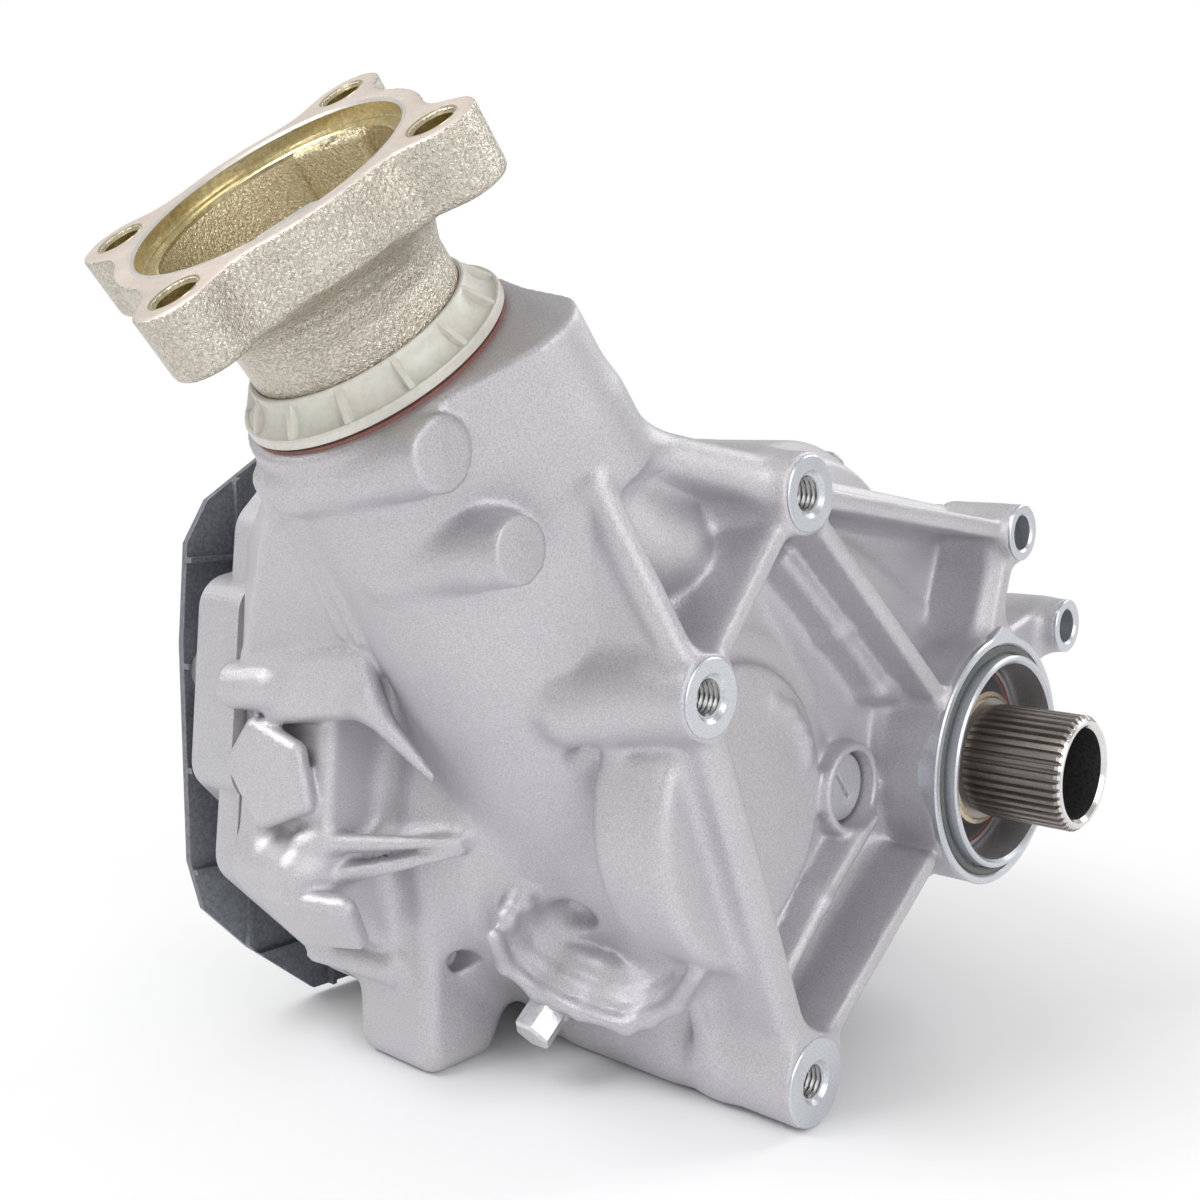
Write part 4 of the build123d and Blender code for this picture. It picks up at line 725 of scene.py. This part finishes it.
def meshNormals(points, quads):  # at each point, the sum of its faces' normals
    corners = points[quads]
    flat = np.cross(corners[:, 2] - corners[:, 0], corners[:, 3] - corners[:, 1])
    total = [np.bincount(quads.ravel(), np.repeat(flat[:, k], 4), len(points)) for k in range(3)]
    total = np.stack(total, -1)
    return total / np.maximum(np.linalg.norm(total, axis=1, keepdims=True), 1e-12)


points, quads = buildCasting(casting)
middle = points[quads].mean(1)
points = toFrame(points)
normals = meshNormals(points, quads)
neckStart, frontStart = 118, -78     # along the output shaft, and along x
regions = dict(neck=middle[:, 2] > neckStart,
               front=(middle[:, 2] <= neckStart) & (middle[:, 0] > frontStart))
regions["rear"] = ~regions["neck"] & ~regions["front"]
for name, chosen in regions.items():
    piece = addMesh("housing_" + name, points, [quads[chosen]], "housing",
                    [looks["cast_case"]], ("case",), normals=normals)
    print("housing", name, len(piece.data.polygons), "faces")

# machined ends of the bosses, with their threads

mountFaces = dict(threaded=[(*upperFront, 11.7), (*upperRear, 11.7), (*footFront, 14.6)],
                  plain=[(*earUpper, 10.4), (*earLower, 10.4)],
                  majorRadius=6.0, threadDepth=0.95, pitch=1.75, threadStart=-1.4, clearRadius=6.5,
                  depth=29.0, turns=72)


def threadedFace(name, a, p, radius, c):
    # the bore's radius falls and rises once per pitch, and once per turn, which makes a helix
    major, depth, start = c["majorRadius"], c["depth"], c["threadStart"]
    inner = [(-u, major) for u in np.arange(-start, depth, c["pitch"] / 8)]
    face = [(start, radius), (-0.3, radius), (0, radius - 0.35), (0, 7.3), (-1.3, 6.1)]
    back = [(-depth, 7.2), (-2.0, 7.6), (start, 9.0)]
    # the bore and the hidden back take the darker finish, which is painted shade in the threaded hole
    marks = [0] * len(face) + [1] * len(inner + back)

    def helix(x, r, angle):
        saw = np.abs((x / c["pitch"] + angle / (2 * np.pi)) % 1.0 * 2 - 1)
        inBore = (x < start + 0.05) & (x > -depth + 0.01) & (r < major + 0.05)
        return r - np.where(inBore, c["threadDepth"] * saw, 0)

    turnedPiece(name, face + inner + back, "housing", "cast_case",
                [looks["machined"], looks["threadShade"]], marks, center=(a, p), turns=c["turns"],
                wave=helix, sharp=34)


def plainFace(name, a, p, radius, c):
    # flat face, straight bore with broken edges, and the ring face of the counterbore behind it
    clear = c["clearRadius"]
    front = [(-1.4, radius), (-0.3, radius), (0, radius - 0.35), (0, clear + 0.8), (-0.8, clear)]
    back = [(-29.4, clear), (-30, clear + 0.6), (-30, 10), (-29.4, 10.2), (-29.2, 7.3), (-2, 7.4), (-1.4, 9)]
    turnedPiece(name, front + back, "housing", "cast_case", [looks["machined"]], center=(a, p),
                turns=c["turns"])


for number, (a, p, radius) in enumerate(mountFaces["threaded"], 1):
    threadedFace("threadedFace_%d" % number, a, p, radius, mountFaces)
for number, (a, p, radius) in enumerate(mountFaces["plain"], 1):
    plainFace("earFace_%d" % number, a, p, radius, mountFaces)
print("machined bosses made")

# spigot, its ring and the seal round the shaft

spigot = dict(
    tipAngle=math.radians(51), tip=3.6, tipWidth=0.20, landStart=-9, landRadius=45.1,
    ring=[(-8, 45.2), (-1.5, 46.4), (-0.6, 46.5), (0, 46.0), (0, 43.9), (-0.5, 43.35), (-3.8, 43.3),
          (-3.8, 39.5), (3.3, 39.5), (4.0, 38.8), (4.0, 37.7), (2.9, 36.55), (-14, 36.55), (-14, 38.6),
          (-8, 38.8), (-8, 44)],
    cord=1.9, cordPlace=(-1.9, 41.4),
    # the seal's case, its red edge and its rubber lip, each row with its finish
    seal=[(-26, 36.45), (-12.7, 36.45), (-12, 35.8), (-12, 34.2), (-12.6, 33.9), (-12.6, 32.9),
          (-13.2, 32.4), (-16, 30.6), (-20.2, 25.8), (-21, 25.1), (-22.2, 26.2), (-24.2, 29.2),
          (-26, 29.4)],
    sealMarks=[0, 0, 0, 1, 1, 2, 2, 2, 2, 2, 2, 0, 0])


def spigotTip(x, r, angle):  # the land's outer edge runs out to a point where two ribs meet it
    near = np.clip(1 - np.abs(angle - spigot["tipAngle"]) / spigot["tipWidth"], 0, 1) ** 1.4
    onLand = (r > spigot["landRadius"]) & (x > spigot["landStart"])
    return r + np.where(onLand, spigot["tip"] * near, 0)


turnedPiece("spigotRing", spigot["ring"], "housing", "cast_case", [looks["machined"]], turns=360,
            wave=spigotTip)
turn = np.linspace(0, 2 * np.pi, 20, endpoint=False)
cord = spigot["cordPlace"] + spigot["cord"] * np.stack([np.cos(turn), np.sin(turn)], -1)
turnedPiece("ringCord", cord, "housing", "seal_rubber", [looks["seal_rubber"]],
            replaced=("spigot_o_ring",), sharp=None)
turnedPiece("shaftSeal", spigot["seal"], "housing", "seal_case",
            [looks["seal_case"], looks["lipRed"], looks["seal_rubber"]], spigot["sealMarks"],
            replaced=("input_seal_right",))
print("spigot made")

# splined shaft

spline = dict(teeth=40, root=19.3, tip=21.0, start=-5.0, end=33.0, bore=16.5, chamfer=2.0, crown=0.86,
              steepness=1.9, runOut=5.0, pointsPerTooth=14,
              # steps of the hidden part and the collar: place on the axis, radius
              steps=[(-198, 25), (-188, 25), (-188, 27.5), (-170, 27.5), (-170, 30), (-143, 30), (-143, 35),
                     (-138, 35), (-138, 31), (-62, 31), (-62, 27.5), (-44, 27.5), (-44, 25)],
              collar=[(-3, 25), (-1.2, 24.9), (-0.8, 23.4), (0, 22.6)])


def buildShaft(c):
    start, end, tip, bore, root = c["start"], c["end"], c["tip"], c["bore"], c["root"]
    rear = [(-198, bore)] + c["steps"] + [(start + x, r) for x, r in c["collar"]]
    toothPlaces = [start + 0.4, start + 1.2, start + 3.5, start + 6, 4, 12, 24, end - c["chamfer"], end - 1,
                   end - 0.25]
    front = [(end, root - 0.25), (end, bore + 1.2), (end - 1.2, bore)]
    profile = rear + [(x, root) for x in toothPlaces] + front
    # teeth, shaft, collar, its edge, the polished end and the bore, whose near-black finish is painted shade
    marks = [1] * 13 + [2, 2, 3, 3, 0] + [0] * 8 + [4] * 4 + [5]

    def toothed(x, r, angle):
        # a cosine round the turn, made steep and cut flat, stands for the teeth; they rise from the
        # root over the run-out and end under the cone of the chamfer
        shape = np.clip(c["crown"] + c["steepness"] * np.cos(c["teeth"] * angle), 0, 1)
        rise = np.clip((x - start) / c["runOut"], 0, 1) ** 0.5
        cone = tip - np.maximum(x - (end - c["chamfer"]), 0)
        toothRadius = np.minimum(r + (tip - root) * shape * rise, cone)
        onTeeth = (x > start + 0.2) & (x < end - 0.1) & (r > bore + 1.5)
        return np.where(onTeeth, np.maximum(toothRadius, np.minimum(r, cone)), r)

    shaftLooks = [looks[name] for name in ("splineSteel", "shaft_steel", "collarSteel", "collarEdge",
                                           "polished", "boreShade")]
    turnedPiece("splinedShaft", profile, "input", "shaft_steel", shaftLooks, marks,
                replaced=("input_shaft",), turns=c["teeth"] * c["pointsPerTooth"], wave=toothed, sharp=28)


buildShaft(spline)
print("splined shaft made")

# companion flange: a rough casting with turned face, pilot bore and holes

flange = dict(step=1.0, reach=70.0, earCircle=53.6, earRadius=12.0, earRoot=(26, 19), earBase=290.6,
              firstEar=19.4, ears=4, holeRadius=5.75, pilotRadius=41.15, pilotFloor=304.6, cupRadius=36.5,
              cupFloor=283.0, shaftBore=15.1,
              hub=[(226, 0), (226, 25), (254, 25), (254, 32.8), (274, 32.8), (281, 35), (287, 39.5),
                   (292, 46.2), (296, 47), (309.6, 47), (309.6, 0)],
              # flat-sided nose inside the cup, with a small hole in its ledge
              noseAngle=107.0, noseTurns=(-20, -10, 0, 10, 20), noseRadii=(33, 35.8), noseEdge=0.6,
              noseHole=(33.4, 2.6),
              bore=[(303.4, 36.3), (304.4, 36.3), (304.8, 36.8), (304.8, 40.4), (305.2, 40.8), (309.0, 40.8),
                    (309.66, 41.5), (309.66, 42.0), (309.3, 42.3), (305, 42), (304.2, 41), (303.4, 37.5)],
              # lining of each ear's hole: place on the axis, and how far its radius is past the hole's
              sleeve=[(290.5, 0.8), (290.5, 0.5), (291.2, 0), (308.4, 0), (309.66, 1.2), (309.66, 1.5),
                      (309.2, 1.6), (308, 0.9), (292, 0.9)])


def aroundOutput(angle, radius):  # x and across of a place round the output shaft
    angle = math.radians(angle)
    return outputAxis[0] + radius * math.cos(angle), outputAxis[1] + radius * math.sin(angle)


def flangeField(c, earAngles):
    # a turned hub with an ear, stretched round two circles, at each angle; the face is cut flat, and
    # the cup, the pilot bore and the holes are carved, with the nose put back into the cup
    x, a = outputAxis
    field = Field((x - c["reach"], a - c["reach"], 222), (x + c["reach"], a + c["reach"], 312), c["step"])
    turned(field, c["hub"], outputAxis, 1, False, True)
    rootPlace, rootRadius = c["earRoot"]
    for angle in earAngles:
        ear = [(*aroundOutput(angle, c["earCircle"]), c["earRadius"]),
               (*aroundOutput(angle, rootPlace), rootRadius)]
        floorWall(field, ear, c["earBase"], flangeFace + 2, 2.0, 7)
    trim(field, (0, 0, 1), flangeFace)
    cup, cupFloor, pilotFloor = c["cupRadius"], c["cupFloor"], c["pilotFloor"]
    hollow = [(cupFloor, 0), (cupFloor, cup - 2), (cupFloor + 2, cup), (312, cup), (312, 0)]
    turned(field, hollow, outputAxis, 0.5, True, True)
    nose = [(*aroundOutput(c["noseAngle"] + turn, r), 1.0) for turn in c["noseTurns"] for r in c["noseRadii"]]
    floorWall(field, nose, cupFloor - 0.4, pilotFloor - 0.4, c["noseEdge"], 1.0)
    bored(field, outputAxis, pilotFloor, 312, c["pilotRadius"], alongOutput=True)
    for angle in earAngles:
        spot = aroundOutput(angle, c["earCircle"])
        bored(field, spot, 285, 313, c["holeRadius"] + 0.4, alongOutput=True)
    noseSpot, noseHole = c["noseHole"]
    bored(field, aroundOutput(c["noseAngle"], noseSpot), 293, 306, noseHole, alongOutput=True)
    bored(field, outputAxis, 220, 285, c["shaftBore"], alongOutput=True)
    return field


def flangeMarks(middle, c):
    # faces on the turned face get its finish, and those inside the cup the more golden one
    marks = (middle[:, 2] > flangeFace - 0.35).astype(int)
    fromAxis = np.hypot(middle[:, 0] - outputAxis[0], middle[:, 1] - outputAxis[1])
    marks[(fromAxis < c["cupRadius"] + 0.7) & (middle[:, 2] > c["cupFloor"] + 1.2)] = 2
    marks[(fromAxis < c["cupRadius"] - 3) & (middle[:, 2] > c["cupFloor"] - 1)] = 2
    return marks


def buildFlange(c):
    earAngles = [c["firstEar"] + 360 / c["ears"] * k for k in range(c["ears"])]
    points, quads = netted(flangeField(c, earAngles))
    marks = flangeMarks(points[quads].mean(1), c)
    addMesh("flangeCasting", toFrame(points), [quads], "output",
            [looks["flange_zinc"], looks["flangeFaced"], looks["flangeInner"]], ("companion_flange",),
            marks, 42)
    turnedPiece("flangeBore", c["bore"], "output", "flange_zinc", [looks["flangeGold"], looks["flangeRim"]],
                [0] * 5 + [1] * 3 + [0] * 4, center=outputAxis, alongOutput=True, turns=240)
    sleeve = [(p, c["holeRadius"] + past) for p, past in c["sleeve"]]
    for number, angle in enumerate(earAngles, 1):
        turnedPiece("flangeHole_%d" % number, sleeve, "output", "flange_zinc", [looks["flangeGold"]],
                    center=aroundOutput(angle, c["earCircle"]), alongOutput=True, turns=64)


buildFlange(flange)
print("flange made")

# dust ring: a waxy ring with thin fins on its dished slope

dustRing = dict(fins=13, width=0.026, base=252.7, foot=(3.1, 40.4), head=(10.6, 34.7), finHeight=0.35,
                profile=[(0, 32.85), (0, 41.1), (0.3, 41.5), (2.5, 41.5), (3.1, 41.1), (3.1, 40.4),
                         (2.7, 39.9), (2.8, 39.0), (3.2, 38.2), (3.9, 37.3), (4.9, 36.4), (6.2, 35.6),
                         (7.8, 35.0), (9.4, 34.75), (10.6, 34.7), (11.1, 34.4), (11.3, 33.9), (11.0, 33.0)],
                felt=[(250.2, 36.4), (251.4, 36.4), (252.2, 37.0), (252.2, 40.0), (251.9, 41.0),
                      (250.2, 41.2)])


def buildDustRing(c):
    def finned(p, r, angle):
        # thin fins that fill the dished slope up to the straight line from its foot to its head
        apart = 2 * np.pi / c["fins"]
        offset = np.abs((angle / apart + 0.5) % 1.0 - 0.5) * apart
        (p0, r0), (p1, r1) = c["foot"], c["head"]
        share = (p - c["base"] - p0) / (p1 - p0)
        line = r0 + share * (r1 - r0) + c["finHeight"]
        onSlope = (share > -0.06) & (share < 0.97) & (r > 34.6) & (r < 40.3)
        return np.where((offset < c["width"]) & onSlope, np.maximum(r, line), r)

    profile = [(c["base"] + p, r) for p, r in c["profile"]]
    turnedPiece("dustRing", profile, "output", "nylon", [looks["nylon"]], replaced=("dust_ring",),
                center=outputAxis, alongOutput=True, turns=900, wave=finned, sharp=30)
    turnedPiece("neckFelt", c["felt"], "housing", "seal_rubber", [looks["seal_rubber"], looks["lipRed"]],
                [0, 0, 0, 1, 1, 0], center=outputAxis, alongOutput=True, turns=240)


buildDustRing(dustRing)
print("dust ring made")

# pieces whose CAD shape is kept, with joined faces and broken edges

# finish and slot, the width of the broken edges in mm, and for the nut and the shaft's end the place
# above which they stand lower than in the CAD, with the share of their height that is left
kept = dict(case_cover=("cast_cover", 0.9), cover_bolts=("zinc_bolts", 0.35),
            heat_shield=("shield_coat", 0.5), shield_bolts=("zinc_bolts", 0.35),
            level_plug=("plug_steel", 0.3), drain_plug=("plug_steel", 0.5), drain_washer=("copper", 0.15),
            breather=("zinc_bolts", 0.3), input_seal_left=("seal_case", 0.2),
            output_seal=("seal_case", 0.2), pinion_nut=("nut_steel", 0.7, (286.5, 0.68)),
            pinion_washer=("nut_steel", 0.4), pinion_shaft=("gear_steel", 0.2, (284.0, 0.55)))
for node, (finish, *shaping) in kept.items():
    dressed(node, looks[finish], finish, *shaping)
print("kept shapes dressed:", len(kept))

# stage, lights and camera

stage = dict(size=8.0, color=(0.93, 0.93, 0.935), roughness=0.7, fade=(0.16, 0.42), world=0.50,
             # each lamp's place, size and power
             lamps=dict(keyLight=((-0.7, -1.3, 1.5), 1.0, 25), fillLight=((1.5, -0.5, 0.7), 1.2, 12),
                        rimLight=((0.3, 1.3, 1.2), 1.0, 10)),
             target=(-0.08, -0.08, 0.0), cameraPlace=(0.2507, -0.4934, 0.1240), turn=42.5, rise=6.85,
             sensor=36.0, lens=43.9)


def floorMaterial(c):
    # white as seen by the camera and in gloss, away from the shadow that the object throws
    material = bpy.data.materials.new("paleFloor")
    material.use_nodes = True
    nodes, links = material.node_tree.nodes, material.node_tree.links
    shader = nodes["Principled BSDF"]
    shader.inputs["Base Color"].default_value = (*c["color"], 1)
    shader.inputs["Roughness"].default_value = c["roughness"]
    distance = nodes.new("ShaderNodeVectorMath")
    distance.operation = "DISTANCE"
    distance.inputs[1].default_value = c["target"]
    links.new(nodes.new("ShaderNodeTexCoord").outputs["Object"], distance.inputs[0])
    fade = nodes.new("ShaderNodeMapRange")
    fade.inputs["From Min"].default_value, fade.inputs["From Max"].default_value = c["fade"]
    links.new(distance.outputs["Value"], fade.inputs["Value"])
    rays = nodes.new("ShaderNodeLightPath")
    seen = nodes.new("ShaderNodeMath")
    seen.operation = "MAXIMUM"
    links.new(rays.outputs["Is Camera Ray"], seen.inputs[0])
    links.new(rays.outputs["Is Glossy Ray"], seen.inputs[1])
    share = nodes.new("ShaderNodeMath")
    share.operation = "MULTIPLY"
    links.new(seen.outputs["Value"], share.inputs[0])
    links.new(fade.outputs["Result"], share.inputs[1])
    glow = nodes.new("ShaderNodeEmission")
    mix = nodes.new("ShaderNodeMixShader")
    links.new(share.outputs["Value"], mix.inputs["Fac"])
    links.new(shader.outputs["BSDF"], mix.inputs[1])
    links.new(glow.outputs["Emission"], mix.inputs[2])
    links.new(mix.outputs["Shader"], nodes["Material Output"].inputs["Surface"])
    return material


def addFloor(c):
    mesh = bpy.data.meshes.new("floor")
    size, z = c["size"], floorZ / 1000
    corners = [(-size, -size, z), (size, -size, z), (size, size, z), (-size, size, z)]
    mesh.from_pydata(corners, [], [(0, 1, 2, 3)])
    mesh.materials.append(floorMaterial(c))
    floor = bpy.data.objects.new("floor", mesh)
    bpy.context.scene.collection.objects.link(floor)


def addLamps(c):  # square lamps that face the target
    for name, (spot, size, power) in c["lamps"].items():
        light = bpy.data.lights.new(name, "AREA")
        light.energy = power
        light.size = size
        lamp = bpy.data.objects.new(name, light)
        bpy.context.scene.collection.objects.link(lamp)
        lamp.location = spot
        lamp.rotation_euler = (Vector(c["target"]) - Vector(spot)).to_track_quat("-Z", "Y").to_euler()


def addCamera(c):
    # its turn and rise give the direction behind it; right lies level, and up is square to both
    data = bpy.data.cameras.new("camera")
    data.sensor_width = c["sensor"]
    data.lens = c["lens"]
    camera = bpy.data.objects.new("camera", data)
    bpy.context.scene.collection.objects.link(camera)
    turn, rise = math.radians(c["turn"]), math.radians(c["rise"])
    back = np.array([math.sin(turn) * math.cos(rise), -math.cos(turn) * math.cos(rise), math.sin(rise)])
    right = np.array([math.cos(turn), math.sin(turn), 0.0])
    matrix = np.eye(4)
    matrix[:3, 0], matrix[:3, 1], matrix[:3, 2] = right, np.cross(back, right), back
    matrix[:3, 3] = c["cameraPlace"]
    camera.matrix_world = Matrix(matrix.tolist())
    bpy.context.scene.camera = camera


def addWorld(c):
    # plain light, and white where the camera looks straight at it
    world = bpy.data.worlds.new("studio")
    bpy.context.scene.world = world
    world.use_nodes = True
    nodes, links = world.node_tree.nodes, world.node_tree.links
    nodes.clear()
    output = nodes.new("ShaderNodeOutputWorld")
    mix = nodes.new("ShaderNodeMixShader")
    rays = nodes.new("ShaderNodeLightPath")
    plain, shown = nodes.new("ShaderNodeBackground"), nodes.new("ShaderNodeBackground")
    for background, strength in ((plain, c["world"]), (shown, 1.0)):
        background.inputs["Color"].default_value = (1, 1, 1, 1)
        background.inputs["Strength"].default_value = strength
    links.new(rays.outputs["Is Camera Ray"], mix.inputs["Fac"])
    links.new(plain.outputs["Background"], mix.inputs[1])
    links.new(shown.outputs["Background"], mix.inputs[2])
    links.new(mix.outputs["Shader"], output.inputs["Surface"])


addFloor(stage)
addWorld(stage)
addLamps(stage)
addCamera(stage)
bpy.context.scene.view_settings.view_transform = "Standard"
